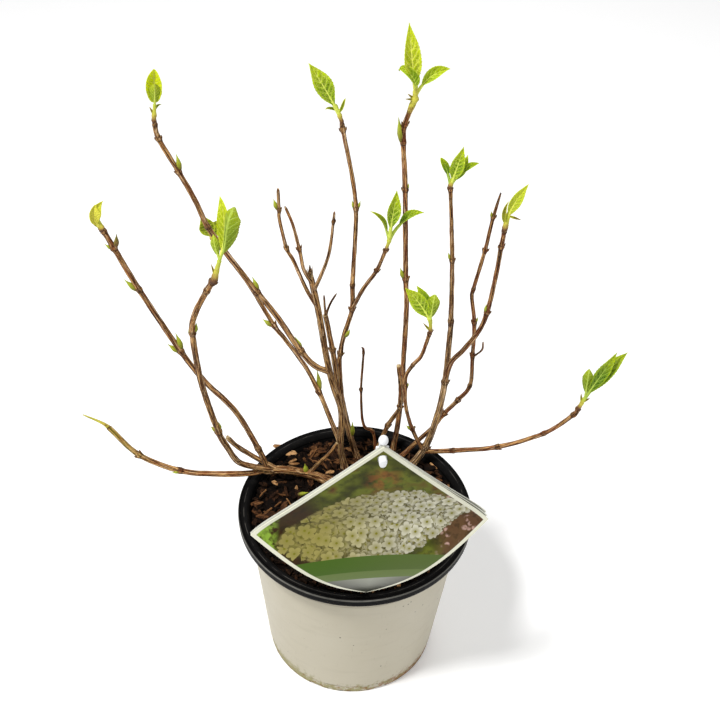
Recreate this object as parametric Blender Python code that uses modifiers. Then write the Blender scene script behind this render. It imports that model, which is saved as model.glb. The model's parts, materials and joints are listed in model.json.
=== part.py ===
"""A potted hydrangea in early spring: bare brown canes with opening tufts of leaves, in a round nursery pot.

Run it with: blender --background --python part.py
The tables hold millimetres and degrees, and MM turns millimetres into metres. +Z is up, and the origin is at the
middle of the pot's flat underside. A lean is measured from upright, and a heading turns from +X (0) to +Y (90).
"""

import math
import random

import bmesh
import bpy
from mathutils import Matrix, Vector

MM = 0.001
GAP = 0.3
UP = Vector((0, 0, 1))

# The pot, a nursery pot of about one gallon: a white wall, and a black liner with a rolled lip.
RIM_RADIUS = 82.5
POT_HEIGHT = 135.0
BASE_RADIUS = 62.0
WALL_TOP_RADIUS = 75.5
WALL_THICKNESS = 0.9
FLOOR_THICKNESS = 3.0
LIP_HEIGHT = 7.0
LINER_DEPTH = 30.0
LINER_THICKNESS = 0.8
LIP_STEP = 0.6
LIP_SKIRT = 4.2
STEP_DEPTH = 0.3
STEP_BELOW_LIP = 8.0
STEP_ABOVE_BASE = 8.0
NOTCH_COUNT = 8
NOTCH_SIZE = (9.0, 6.0, 2.0)
FOOT_CHAMFER = 1.5
POT_SEGMENTS = 48

# The bark mix that fills the pot.
MIX_TOP = 128.7
FOOT_LEVEL = MIX_TOP + GAP
MIX_FLAT_RADIUS = 71.0
MIX_SHOULDER = 1.2
CHIP_COUNT = 54
CHIP_SEED = 7
CHIP_LENGTH = (7.0, 13.0)
CHIP_WIDTH = (3.5, 6.0)
CHIP_HEIGHT = (2.0, 3.4)
CHIP_LEAN = (-0.25, 0.25)
CHIP_EDGE_MARGIN = 7.0
FOOT_CLEARANCE = 11.0

# The square plant tag: three pages on a stake that stands at the front of the pot, one corner down. The shifts move a
# corner to the right, up and forward.
TAG_SIDE = 104.0
TAG_LOW_CORNER = (7.2, -77.3, 134.9)
TAG_TURN = 9.7
TAG_TIP_FORWARD = 3.9
TAG_SPIN = -2.4
TAG_BULGE = 10.0
TAG_BULGE_FADE = 8.0
TAG_LOW_SHIFT = (2.7, 0.0, -1.9)
TAG_LEFT_SHIFT = (-1.4, -2.0, 0.0)
TAG_CARD = 0.8
TAG_PAGE = 0.4
PAGE_BACKS = (1.0, 1.8)
PAGE_FANS = (2.1, 4.2)
PAGE_FAN_POWER = 1.5
TAG_CELLS = 8
PEG_SIZE = (4.7, 7.8)
PEG_BELOW_CORNER = 10.6
PEG_REACH = 8.8
SLOT_GROWTH = 1.0 + 2 * GAP
SLOT_REACH = 12.0
STAKE_WIDTH = 7.6
STAKE_THICKNESS = 1.4
STAKE_BACK = 3.2
STAKE_SLANT = 6.0
STAKE_BELOW_CORNER = 3.4
NECK_WIDTH = 4.6
KNOB_START = 0.4
KNOB_LENGTH = 5.0
KNOB_RADII = (2.9, 2.0)

# Limbs. "foot" is where one leaves the mix and "parent" is the limb it springs from, with the distance along it.
# Each run is a length, a lean and a heading. "nodes" numbers the runs that end in a swollen joint, and a bud has the
# number of its run, a heading and a length. A twig has a run's number, two diameters and runs of its own.
LIMB_SIDES_RESOLUTION = 2
RING_SPACING = 15.0
RINGS_APART = 1.5
FOOT_OVERSHOOT = 8.0
NODE_REACH = 3.2
NODE_SWELL = 1.3
BUD_OUTWARD = 0.6
BUD_FORWARD = 0.8
BUD_RADIUS_SHARE = 0.16
BUD_LEAST_RADIUS = 0.8
BUD_TIP_RADIUS = 0.35
BUD_ROOT_DEPTH = 1.5
LIMBS = {
    "stool_left": {
        "foot": (-21, 30),
        "girth": (6.4, 5.8),
        "runs": ((17, 68, 180), (16, 74, 187), (15, 87, 186)),
        "buds": ((1, 110, 9),),
    },
    "cane_broken": {
        "foot": (-9, 43),
        "girth": (5.0, 4.2),
        "runs": ((22, 11, 153), (32, 2, 85), (24, 16, 163), (23, 15, 149), (38, 10, 153), (32, 12, 162)),
        "twigs": (
            (6, (2.4, 0.8), ((7, 14, 100),)),
            (6, (2.2, 0.8), ((6, 20, 260),)),
            (6, (2.0, 0.8), ((5, 12, 20),)),
        ),
    },
    "cane_cut": {
        "foot": (0, 54),
        "girth": (4.6, 3.5),
        "runs": ((20, 19, 153), (29, 15, 147), (25, 15, 143), (22, 12, 138), (29, 13, 150)),
        "nodes": (4,),
        "buds": ((1, 350, 13), (3, 20, 4)),
        "twigs": (
            (5, (1.8, 1.3), ((18, 5, 150),)),
            (5, (1.8, 1.3), ((10, 16, 10), (11, 24, 5))),
        ),
    },
    "twig_dead": {
        "foot": (13, 66),
        "girth": (2.2, 1.6),
        "runs": ((13, 21, 121), (10, 47, 172), (30, 11, 119), (32, 7, 82), (6, 14, 176)),
        "nodes": (1, 3, 4),
    },
    "cane_tallest": {
        "foot": (26, 62),
        "girth": (3.9, 3.1),
        "runs": ((42, 5, 31), (87, 3, 91), (28, 5, 144), (67, 5, 135), (33, 6, 147), (13, 1, 38), (18, 16, 336)),
        "nodes": (3, 4, 5, 6),
        "buds": ((3, 190, 8), (5, 185, 13), (4, 0, 4)),
    },
    "stub_rough": {
        "foot": (14, 61),
        "girth": (3.5, 2.9),
        "runs": ((32, 14, 337), (24, 21, 333), (22, 6, 249), (21, 8, 220)),
        "nodes": (1, 2),
    },
    "cane_right": {
        "foot": (40, 48),
        "girth": (5.5, 2.3),
        "runs": ((23, 23, 357), (29, 14, 20), (30, 12, 56), (35, 6, 85), (15, 13, 90), (48, 6, 125), (53, 7, 144)),
        "nodes": (1, 3, 5, 6),
        "buds": ((3, 120, 5), (6, 180, 5)),
    },
    "cane_back_right": {
        "foot": (32, 57),
        "girth": (3.3, 2.4),
        "runs": (
            (22, 34, 0), (16, 37, 6), (13, 44, 33), (14, 59, 37), (14, 50, 39), (25, 12, 91), (27, 9, 106),
            (20, 15, 129), (7, 8, 56), (30, 14, 43), (25, 12, 51), (19, 12, 32),
        ),
        "nodes": (3, 4, 5, 6, 7, 9, 10, 11),
        "buds": ((7, 0, 4), (11, 190, 4)),
        "twigs": ((6, (1.6, 1.3), ((5, 40, 311), (9, 31, 317), (9, 12, 264))),),
    },
    "cane_low_left": {
        "parent": ("stool_left", 47),
        "girth": (4.4, 3.6),
        "runs": ((12, 86, 203), (24, 87, 188), (25, 85, 181), (31, 69, 174), (31, 46, 165)),
        "nodes": (3, 4, 5),
        "buds": ((3, 100, 6), (3, 260, 5)),
        "twigs": ((5, (3.4, 0.9), ((6, 60, 166), (14, 74, 167))),),
    },
    "cane_far_left": {
        "parent": ("stool_left", 45),
        "girth": (4.1, 3.5),
        "runs": (
            (22, 17, 178), (38, 24, 176), (31, 38, 177), (30, 32, 173), (54, 26, 175), (34, 23, 176), (14, 25, 171),
        ),
        "nodes": (1, 4, 5, 6),
        "buds": ((4, 190, 9), (4, 10, 15), (5, 190, 11), (6, 190, 5), (6, 10, 6)),
        "cut_by": ("cane_low_left",),
    },
    "cane_near_left": {
        "parent": ("stool_left", 41),
        "girth": (4.4, 3.7),
        "runs": (
            (27, 60, 200), (22, 26, 204), (19, 18, 211), (52, 12, 223), (49, 10, 258), (20, 16, 307), (24, 25, 330),
            (10, 28, 338),
        ),
        "nodes": (3, 5, 7),
        "buds": ((3, 190, 6), (3, 30, 7), (5, 190, 3), (5, 20, 8)),
        "cut_by": ("cane_low_left", "cane_far_left"),
    },
    "stub_near_left": {
        "parent": ("stool_left", 38),
        "girth": (3.8, 3.4),
        "runs": ((32, 52, 181), (18, 35, 196)),
        "cut_by": ("cane_far_left", "cane_near_left"),
    },
    "twig_bark": {
        "parent": ("stool_left", 15),
        "girth": (3.0, 2.0),
        "runs": ((14, 44, 23), (9, 44, 20), (10, 34, 22)),
    },
    "cane_centre": {
        "parent": ("cane_cut", 53),
        "girth": (3.6, 2.5),
        "runs": (
            (37, 8, 244), (12, 5, 294), (16, 7, 342), (25, 12, 355), (19, 6, 99), (30, 6, 80), (26, 7, 92),
            (21, 9, 148), (33, 13, 156), (5, 9, 179),
        ),
        "nodes": (2, 4, 5, 7, 9),
        "buds": ((3, 340, 8), (7, 170, 5), (7, 10, 5)),
    },
    "cane_top_left": {
        "parent": ("cane_broken", 91),
        "girth": (4.3, 3.2),
        "runs": (
            (11, 86, 157), (15, 55, 151), (29, 39, 154), (22, 46, 154), (30, 42, 157), (26, 37, 160), (20, 26, 153),
            (22, 30, 159), (25, 30, 162), (12, 9, 178),
        ),
        "nodes": (2, 4, 6, 8, 9),
        "buds": ((2, 20, 9), (4, 10, 10), (8, 10, 11)),
    },
    "cane_back_left": {
        "parent": ("cane_broken", 24),
        "girth": (3.5, 2.8),
        "runs": (
            (15, 42, 128), (16, 40, 129), (10, 44, 130), (21, 41, 139), (24, 50, 145), (13, 50, 148), (32, 39, 147),
            (25, 47, 148), (17, 50, 151),
        ),
        "nodes": (3, 6),
        "buds": ((3, 30, 15), (6, 180, 8)),
    },
    "twig_broken_a": {
        "parent": ("cane_broken", 143),
        "girth": (2.8, 2.0),
        "runs": ((14, 36, 154), (23, 26, 156), (10, 31, 156), (21, 15, 148), (7, 9, 102), (15, 8, 110)),
        "nodes": (3, 5),
        "buds": ((5, 190, 7),),
    },
    "twig_broken_b": {
        "parent": ("cane_broken", 163),
        "girth": (2.8, 1.7),
        "runs": ((16, 26, 222), (15, 14, 147), (17, 21, 137), (13, 28, 147)),
        "nodes": (2,),
    },
    "twig_broken_c": {
        "parent": ("cane_broken", 157),
        "girth": (2.8, 1.6),
        "runs": ((15, 23, 314), (22, 16, 340), (25, 6, 340), (8, 4, 0)),
        "nodes": (3,),
    },
    "bough_near_right": {
        "parent": ("cane_right", 19),
        "girth": (2.8, 2.5),
        "runs": ((28, 22, 205), (26, 15, 207), (21, 9, 245), (12, 9, 270), (12, 21, 331), (13, 27, 330), (25, 15, 306)),
        "nodes": (1, 3, 5),
        "buds": ((1, 190, 5), (3, 0, 3)),
    },
    "bough_right": {
        "parent": ("cane_right", 82),
        "girth": (3.7, 2.8),
        "runs": ((21, 11, 310), (16, 29, 345), (19, 26, 353), (18, 13, 346), (30, 5, 339), (25, 5, 290), (14, 5, 299)),
        "nodes": (4, 6),
        "buds": ((4, 190, 6),),
    },
    "bough_low_right": {
        "parent": ("cane_right", 19),
        "girth": (3.6, 3.0),
        "runs": ((8, 73, 342), (15, 76, 352), (32, 76, 356), (35, 62, 358), (26, 44, 1), (7, 22, 357)),
        "nodes": (2, 3, 4, 5),
        "cut_by": ("bough_near_right",),
    },
    "bough_centre": {
        "parent": ("cane_centre", 90),
        "girth": (2.9, 2.4),
        "runs": ((26, 24, 312), (25, 29, 310), (26, 25, 297)),
        "nodes": (2,),
    },
}

# Tufts of leaves, one on each limb's tip. "stem" is the run of the short stem. Each leaf has the distance of its root
# along the stem, a length and a width, a lean and a heading, and the heading that its upper face looks to.
SHOOT_GIRTH_SHARE = 0.8
SHOOT_COLLAR = 1.5
SHOOT_TIP_RADIUS = 0.6
LEAF_THICKNESS = 0.5
LEAF_CELLS = 5
LEAF_CLEARANCE = 1.0
LEAF_WIDTH_KEPT_CLEAR = 0.3
LEAF_FACE_LEAN = 60
LEAF_FOLD = (24, 38)
LEAF_BOW = (0.04, 0.14)
LEAF_ROOT_HALF_WIDTH = 0.45
LEAF_SHOULDER = 1.16
TUFTS = {
    "tuft_far_left": {
        "limb": "cane_far_left",
        "stem": (6, 12, 180),
        "leaves": ((3, 19, 7, 11, 32, 285), (2, 18, 8, 6, 194, 305), (1, 8, 2, 53, 179, 290)),
    },
    "tuft_near_left": {
        "limb": "cane_near_left",
        "stem": (17, 16, 335),
        "leaves": (
            (18, 37, 8.2, 24, 91, 265), (18, 36, 12.5, 8, 36, 60), (18, 15, 6.5, 16, 146, 105),
            (4, 8, 2, 21, 139, 280),
        ),
    },
    "tuft_top_left": {
        "limb": "cane_top_left",
        "stem": (12, 7, 0),
        "leaves": (
            (13, 24, 12, 10, 79, 280), (13, 17, 11.5, 14, 300, 95), (5, 6, 2, 30, 156, 280),
            (5, 9, 1.8, 40, 34, 280),
        ),
    },
    "tuft_back_left": {
        "limb": "cane_back_left",
        "stem": (5, 25, 160),
        "leaves": ((2, 19, 15, 22, 168, 280), (1, 15, 12, 16, 42, 275)),
    },
    "tuft_centre": {
        "limb": "cane_centre",
        "stem": (12, 19, 180),
        "leaves": ((6, 39, 11.8, 28, 191, 285), (5, 11, 2.6, 67, 174, 190), (5, 12, 2.8, 21, 24, 305)),
    },
    "tuft_middle": {
        "limb": "bough_centre",
        "stem": (11, 19, 300),
        "leaves": ((9, 34, 8.8, 7, 42, 285), (9, 28, 6.2, 45, 13, 220), (9, 22, 3.8, 28, 166, 320)),
    },
    "tuft_tallest": {
        "limb": "cane_tallest",
        "stem": (10, 8, 280),
        "leaves": (
            (6, 44, 11.2, 8, 178, 280), (2, 28, 8, 47, 11, 255), (7, 19, 7.5, 32, 197, 290),
            (1, 6, 1.8, 80, 200, 270), (1, 6, 2, 48, 195, 265),
        ),
    },
    "tuft_near_right": {
        "limb": "bough_near_right",
        "stem": (11, 8, 230),
        "leaves": (
            (9, 29, 10.8, 38, 165, 275), (11, 24, 7.5, 38, 132, 270), (10, 18, 9.6, 9, 61, 80),
            (1, 7, 2, 51, 155, 275),
        ),
    },
    "tuft_right": {
        "limb": "cane_right",
        "stem": (8, 10, 0),
        "leaves": (
            (3, 27, 9, 12, 4, 265), (3, 21, 6.5, 31, 31, 265), (1, 20, 5.2, 26, 153, 290), (2, 23, 5, 45, 7, 235),
        ),
    },
    "tuft_far_right": {
        "limb": "bough_right",
        "stem": (10, 8, 313),
        "leaves": (
            (9, 26, 8, 23, 8, 270), (4, 16, 3.6, 1, 186, 260), (6, 9, 4, 14, 34, 260), (11, 8, 2, 99, 346, 275),
        ),
    },
    "tuft_low_right": {
        "limb": "bough_low_right",
        "stem": (9, 17, 0),
        "leaves": (
            (10, 41, 9, 26, 20, 270), (10, 43, 11.5, 40, 25, 235), (10, 21, 9.5, 9, 88, 80),
            (5, 7, 2, 33, 102, 260), (6, 6, 2, 58, 11, 240),
        ),
    },
}


def clear_scene():
    for obj in list(bpy.data.objects):
        bpy.data.objects.remove(obj, do_unlink=True)


def new_collection(name):
    made = bpy.data.collections.new(name)
    bpy.context.scene.collection.children.link(made)
    return made


def material(name, colour, roughness, metallic=0.0):
    made = bpy.data.materials.new(name)
    made.use_nodes = True
    made.diffuse_color = (*colour, 1.0)
    shader = made.node_tree.nodes["Principled BSDF"]
    shader.inputs["Base Color"].default_value = (*colour, 1.0)
    shader.inputs["Roughness"].default_value = roughness
    shader.inputs["Metallic"].default_value = metallic
    return made


def add_object(name, data, collection):
    obj = bpy.data.objects.new(name, data)
    collection.objects.link(obj)
    return obj


def add_bmesh(name, bm, collection):
    mesh = bpy.data.meshes.new(name)
    bm.to_mesh(mesh)
    bm.free()
    return add_object(name, mesh, collection)


def drop(obj):
    data = obj.data
    bpy.data.objects.remove(obj, do_unlink=True)
    if isinstance(data, bpy.types.Mesh):
        bpy.data.meshes.remove(data)
    else:
        bpy.data.curves.remove(data)


def settled(obj):
    """The object with its modifiers worked into a plain welded mesh."""
    bpy.context.view_layer.update()
    graph = bpy.context.evaluated_depsgraph_get()
    mesh = bpy.data.meshes.new_from_object(obj.evaluated_get(graph))
    bm = bmesh.new()
    bm.from_mesh(mesh)
    bmesh.ops.remove_doubles(bm, verts=bm.verts, dist=0.002 * MM)
    bm.to_mesh(mesh)
    bm.free()
    made = bpy.data.objects.new("settled", mesh)
    made.matrix_world = obj.matrix_world.copy()
    obj.users_collection[0].objects.link(made)
    name = obj.name
    drop(obj)
    made.name = name
    mesh.name = name
    return made


def as_cutter(obj):
    obj.hide_render = True
    obj.display_type = "WIRE"
    return obj


def combined(obj, others, operation):
    """The object joined with, or cut by, the others, which are removed."""
    if not others:
        return obj
    group = new_collection("operands")
    for other in others:
        for holder in other.users_collection:
            holder.objects.unlink(other)
        group.objects.link(other)
    step = obj.modifiers.new("combine", "BOOLEAN")
    step.operation = operation
    step.operand_type = "COLLECTION"
    step.collection = group
    step.solver = "EXACT"
    made = settled(obj)
    for other in list(group.objects):
        drop(other)
    bpy.data.collections.remove(group)
    return made


def keep_largest(obj):
    """Drops the loose scraps that a cut leaves, and keeps the limb itself."""
    bm = bmesh.new()
    bm.from_mesh(obj.data)
    bm.verts.ensure_lookup_table()
    islands = []
    unseen = set(bm.verts)
    while unseen:
        island = []
        stack = [unseen.pop()]
        while stack:
            vert = stack.pop()
            island.append(vert)
            for edge in vert.link_edges:
                other = edge.other_vert(vert)
                if other in unseen:
                    unseen.remove(other)
                    stack.append(other)
        islands.append(island)
    islands.sort(key=len)
    for island in islands[:-1]:
        bmesh.ops.delete(bm, geom=island, context="VERTS")
    bm.to_mesh(obj.data)
    bm.free()
    return obj


def way(lean, heading):
    """The unit direction that leans from upright towards a heading."""
    lean = math.radians(lean)
    heading = math.radians(heading)
    return Vector((math.sin(lean) * math.cos(heading), math.sin(lean) * math.sin(heading), math.cos(lean)))


def along(path, distance):
    """The point, the direction and the radius at a distance along a path of (point, radius)."""
    for (start, start_radius), (end, end_radius) in zip(path, path[1:]):
        step = (end - start).length
        if distance <= step:
            share = distance / step
            radius = start_radius + share * (end_radius - start_radius)
            return start.lerp(end, share), (end - start).normalized(), radius
        distance -= step
    start, end = path[-2][0], path[-1][0]
    return end.copy(), (end - start).normalized(), path[-1][1]


def bend(before, start, end, after, share):
    """A point of the smooth curve through four joints."""
    square = share * share
    cube = square * share
    return 0.5 * (
        2 * start
        + (end - before) * share
        + (2 * before - 5 * start + 4 * end - after) * square
        + (3 * start - before - 3 * end + after) * cube
    )


def limb_path(start, runs, girth, nodes=()):
    """Points and radii along a limb: a smooth curve through the ends of its runs, swollen at its nodes."""
    joints = [Vector(start)]
    for length, lean, heading in runs:
        joints.append(joints[-1] + length * way(lean, heading))
    whole = sum(run[0] for run in runs)
    ends = [2 * joints[0] - joints[1]] + joints + [2 * joints[-1] - joints[-2]]
    path = []
    walked = 0.0
    for number, (length, _, _) in enumerate(runs, start=1):
        shares = [0.0]
        if number - 1 in nodes:
            shares.append(NODE_REACH / length)
        pieces = max(1, round(length / RING_SPACING))
        shares += [piece / pieces for piece in range(1, pieces)]
        if number in nodes:
            shares.append(1 - NODE_REACH / length)
        shares = sorted(share for share in shares if 0 <= share < 1)
        for share in shares:
            point = bend(*ends[number - 1 : number + 3], share)
            radius = 0.5 * (girth[0] + (girth[1] - girth[0]) * (walked + share * length) / whole)
            swell = NODE_SWELL if share == 0 and number - 1 in nodes else 1.0
            if not path or (point - path[-1][0]).length > RINGS_APART:
                path.append((point, radius * swell))
        walked += length
    path.append((joints[-1], 0.5 * girth[1] * (NODE_SWELL if len(runs) in nodes else 1.0)))
    return path


def tube(name, path, collection, extra=0.0):
    """A round limb along a path, as a closed mesh."""
    curve = bpy.data.curves.new(name, "CURVE")
    curve.dimensions = "3D"
    curve.bevel_depth = MM
    curve.bevel_resolution = LIMB_SIDES_RESOLUTION
    curve.use_fill_caps = True
    spline = curve.splines.new("POLY")
    spline.points.add(len(path) - 1)
    for spot, (point, radius) in zip(spline.points, path):
        spot.co = (*(point * MM), 1.0)
        spot.radius = radius + extra
    return settled(add_object(name, curve, collection))


def cone(name, root, direction, length, base, tip, collection):
    """A small six-sided bud or splinter that starts at its root."""
    bm = bmesh.new()
    bmesh.ops.create_cone(
        bm, cap_ends=True, segments=6, radius1=base * MM, radius2=tip * MM, depth=length * MM,
    )
    turn = direction.to_track_quat("Z", "Y").to_matrix().to_4x4()
    middle = (root + direction * length / 2) * MM
    bmesh.ops.transform(bm, matrix=Matrix.Translation(middle) @ turn, verts=bm.verts)
    return add_bmesh(name, bm, collection)


def flat_foot(obj, level):
    """Cuts a limb flat where it leaves the mix."""
    bm = bmesh.new()
    bm.from_mesh(obj.data)
    geometry = list(bm.verts) + list(bm.edges) + list(bm.faces)
    bmesh.ops.bisect_plane(
        bm, geom=geometry, dist=0.001 * MM, plane_co=(0, 0, level * MM), plane_no=(0, 0, 1), clear_inner=True,
    )
    bmesh.ops.holes_fill(bm, edges=[edge for edge in bm.edges if edge.is_boundary])
    bm.to_mesh(obj.data)
    bm.free()


def joint_place(spec, start, number):
    """The point and the direction at the end of a limb's numbered run."""
    point = Vector(start)
    direction = UP
    for length, lean, heading in spec["runs"][:number]:
        direction = way(lean, heading)
        point = point + length * direction
    return point, direction


def fused_details(name, spec, start, collection):
    """The buds and short twigs that are part of a limb."""
    details = []
    for number, heading, length in spec.get("buds", ()):
        point, direction = joint_place(spec, start, number)
        outward = way(90, heading)
        outward = (outward - direction * outward.dot(direction)).normalized()
        lean_out = (outward * BUD_OUTWARD + direction * BUD_FORWARD).normalized()
        base = max(BUD_LEAST_RADIUS, BUD_RADIUS_SHARE * length)
        reach = length + BUD_ROOT_DEPTH
        details.append(cone(f"{name}_bud", point, lean_out, reach, base, BUD_TIP_RADIUS, collection))
    for number, girth, runs in spec.get("twigs", ()):
        point, direction = joint_place(spec, start, number)
        path = limb_path(point - direction, runs, girth)
        details.append(tube(f"{name}_twig", path, collection))
    return details


def make_limbs(plant, cutters, finish):
    """Every cane, bough, stub and twig. Returns the path of each."""
    paths = {}
    for name, spec in LIMBS.items():
        if "foot" in spec:
            start = Vector((*spec["foot"], FOOT_LEVEL))
        else:
            parent, distance = spec["parent"]
            start = along(paths[parent], distance)[0]
        path = limb_path(start, spec["runs"], spec["girth"], spec.get("nodes", ()))
        paths[name] = path
        if "foot" in spec:
            below = start - FOOT_OVERSHOOT * way(*spec["runs"][0][1:])
            path = [(below, path[0][1])] + path
        obj = tube(name, path, plant)
        obj = combined(obj, fused_details(name, spec, start, plant), "UNION")
        if "foot" in spec:
            flat_foot(obj, FOOT_LEVEL)
        else:
            blockers = (spec["parent"][0], *spec.get("cut_by", ()))
            sleeves = [as_cutter(tube(f"{blocker}_sleeve", paths[blocker], cutters, GAP)) for blocker in blockers]
            obj = keep_largest(combined(obj, sleeves, "DIFFERENCE"))
        obj.data.materials.append(finish)
    return paths


def leaf_half_width(share):
    """Half of a leaf's width at a share of its length, for a leaf one unit wide: widest just past the middle."""
    return 0.5 * math.sin(math.pi * share ** LEAF_SHOULDER) if 0 < share < 1 else 0.0


def leaf(name, root, leaf_spec, draw, collection):
    """A leaf folded along its midrib and bowed from root to tip, as a thin closed solid."""
    _, length, width, lean, heading, facing = leaf_spec
    direction = way(lean, heading)
    face = way(LEAF_FACE_LEAN, facing)
    face = (face - direction * face.dot(direction)).normalized()
    side = direction.cross(face)
    fold = math.radians(draw.uniform(*LEAF_FOLD))
    bow = draw.uniform(*LEAF_BOW)
    bm = bmesh.new()
    bmesh.ops.create_grid(bm, x_segments=LEAF_CELLS, y_segments=2, size=0.5)
    for vert in bm.verts:
        share = vert.co.x + 0.5
        across = 2 * vert.co.y
        out = across * (width * leaf_half_width(share) + LEAF_ROOT_HALF_WIDTH)
        lift = abs(out) * math.tan(fold) + bow * length * share * (1 - share)
        vert.co = (root + direction * length * share + side * out * math.cos(fold) + face * lift) * MM
    obj = add_bmesh(name, bm, collection)
    skin = obj.modifiers.new("thickness", "SOLIDIFY")
    skin.thickness = LEAF_THICKNESS * MM
    skin.offset = 0.0
    return settled(obj)


def nearest_limb(point, paths, own):
    """How far a point lies from the surface of any limb but its own."""
    nearest = math.inf
    for name, path in paths.items():
        if name == own:
            continue
        for (start, radius), (end, _) in zip(path, path[1:]):
            step = end - start
            share = max(0.0, min(1.0, (point - start).dot(step) / step.length_squared))
            nearest = min(nearest, (point - start - step * share).length - radius)
    return nearest


def leaf_is_clear(root, leaf_spec, paths, own):
    """Whether a leaf keeps clear of the other limbs along its whole length."""
    _, length, width, lean, heading, _ = leaf_spec
    direction = way(lean, heading)
    reach = [root + direction * length * share for share in (0.25, 0.5, 0.75, 1.0)]
    apart = LEAF_CLEARANCE + LEAF_WIDTH_KEPT_CLEAR * width
    return all(nearest_limb(point, paths, own) > apart for point in reach)


def make_tufts(plant, paths, finish):
    """The tufts: a short stem 0.3 mm clear of its limb's tip, with the leaves fused on."""
    for number, (name, spec) in enumerate(TUFTS.items()):
        draw = random.Random(number)
        tip, direction, radius = along(paths[spec["limb"]], math.inf)
        length, lean, heading = spec["stem"]
        start = tip + direction * GAP
        collar = start + direction * SHOOT_COLLAR
        girth = SHOOT_GIRTH_SHARE * radius
        path = [(start, girth), (collar, girth), (collar + way(lean, heading) * length, SHOOT_TIP_RADIUS)]
        stem = tube(name, path, plant)
        leaves = []
        for leaf_spec in spec["leaves"]:
            root = along(path, leaf_spec[0])[0]
            if leaf_is_clear(root, leaf_spec, paths, spec["limb"]):
                leaves.append(leaf(f"{name}_leaf", root, leaf_spec, draw, plant))
        stem = combined(stem, leaves, "UNION")
        stem.data.materials.append(finish)


def turned(name, profile, collection, closed=False):
    """A solid turned from a profile of (radius, height) that runs down its outer side."""
    bm = bmesh.new()
    verts = [bm.verts.new((radius * MM, 0, height * MM)) for radius, height in profile]
    for start, end in zip(verts, verts[1:]):
        bm.edges.new((start, end))
    if closed:
        bm.edges.new((verts[-1], verts[0]))
    obj = add_bmesh(name, bm, collection)
    screw = obj.modifiers.new("turn", "SCREW")
    screw.steps = POT_SEGMENTS
    screw.render_steps = POT_SEGMENTS
    screw.use_merge_vertices = True
    screw.merge_threshold = 0.01 * MM
    return settled(obj)


def wall_radius(height):
    """The radius of the pot's outer face, which widens evenly from the base to the lip."""
    return BASE_RADIUS + (WALL_TOP_RADIUS - BASE_RADIUS) * height / (POT_HEIGHT - LIP_HEIGHT)


def box(name, size, place, turn, collection):
    bm = bmesh.new()
    bmesh.ops.create_cube(bm, size=1.0)
    bmesh.ops.scale(bm, vec=Vector(size) * MM, verts=bm.verts)
    bmesh.ops.transform(bm, matrix=Matrix.Translation(Vector(place) * MM) @ turn.to_4x4(), verts=bm.verts)
    return add_bmesh(name, bm, collection)


def make_pot_wall(plant, cutters, finish):
    """The white wall and floor, with a shallow step near each end and notches round the foot."""
    top = POT_HEIGHT - LIP_HEIGHT - GAP
    upper = top - STEP_BELOW_LIP
    lower = STEP_ABOVE_BASE
    inner = WALL_THICKNESS + STEP_DEPTH
    profile = [
        (0, FLOOR_THICKNESS),
        (wall_radius(FLOOR_THICKNESS) - inner, FLOOR_THICKNESS),
        (wall_radius(top) - inner, top),
        (wall_radius(top), top),
        (wall_radius(upper), upper),
        (wall_radius(upper - 1) - STEP_DEPTH, upper - 1),
        (wall_radius(lower + 1) - STEP_DEPTH, lower + 1),
        (wall_radius(lower) - 2 * STEP_DEPTH, lower),
        (wall_radius(FOOT_CHAMFER) - 2 * STEP_DEPTH, FOOT_CHAMFER),
        (wall_radius(0) - 2 * STEP_DEPTH - FOOT_CHAMFER, 0),
        (0, 0),
    ]
    wall = turned("pot_wall", profile, plant)
    notches = []
    for number in range(NOTCH_COUNT):
        turn = Matrix.Rotation(math.tau * (number + 0.5) / NOTCH_COUNT, 3, "Z")
        place = turn @ Vector((BASE_RADIUS, 0, 0))
        notch = box(f"notch_{number}", (NOTCH_SIZE[1], NOTCH_SIZE[0], 2 * NOTCH_SIZE[2]), place, turn, cutters)
        notches.append(as_cutter(notch))
    wall = combined(wall, notches, "DIFFERENCE")
    wall.data.materials.append(finish)


def make_pot_lip(plant, finish):
    """The black liner and the rolled lip that hangs over the top of the wall."""
    outer = wall_radius(POT_HEIGHT - LIP_HEIGHT) - WALL_THICKNESS - STEP_DEPTH - GAP
    bottom = POT_HEIGHT - LINER_DEPTH
    slope = (WALL_TOP_RADIUS - BASE_RADIUS) / (POT_HEIGHT - LIP_HEIGHT)
    outer_bottom = outer - slope * (LINER_DEPTH - LIP_HEIGHT)
    under = POT_HEIGHT - LIP_HEIGHT
    inner = outer - LINER_THICKNESS
    profile = [
        (outer_bottom - LINER_THICKNESS, bottom),
        (inner, under + LIP_STEP),
        (inner + 2 * LIP_STEP, POT_HEIGHT - 5 * LIP_STEP),
        (inner + 5 * LIP_STEP, POT_HEIGHT - 1.5 * LIP_STEP),
        (inner + 7 * LIP_STEP, POT_HEIGHT - LIP_STEP),
        (RIM_RADIUS - 4 * LIP_STEP, POT_HEIGHT - LIP_STEP),
        (RIM_RADIUS - 3 * LIP_STEP, POT_HEIGHT),
        (RIM_RADIUS - LIP_STEP, POT_HEIGHT - 0.5 * LIP_STEP),
        (RIM_RADIUS, POT_HEIGHT - 2.5 * LIP_STEP),
        (RIM_RADIUS - LIP_STEP, under),
        (RIM_RADIUS - 3 * LIP_STEP, under),
        (RIM_RADIUS - 4 * LIP_STEP, under + LIP_SKIRT),
        (WALL_TOP_RADIUS + 2 * LIP_STEP, under + LIP_SKIRT),
        (WALL_TOP_RADIUS, under),
        (outer, under),
        (outer_bottom, bottom),
    ]
    lip = turned("pot_lip", profile, plant, closed=True)
    lip.data.materials.append(finish)


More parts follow.
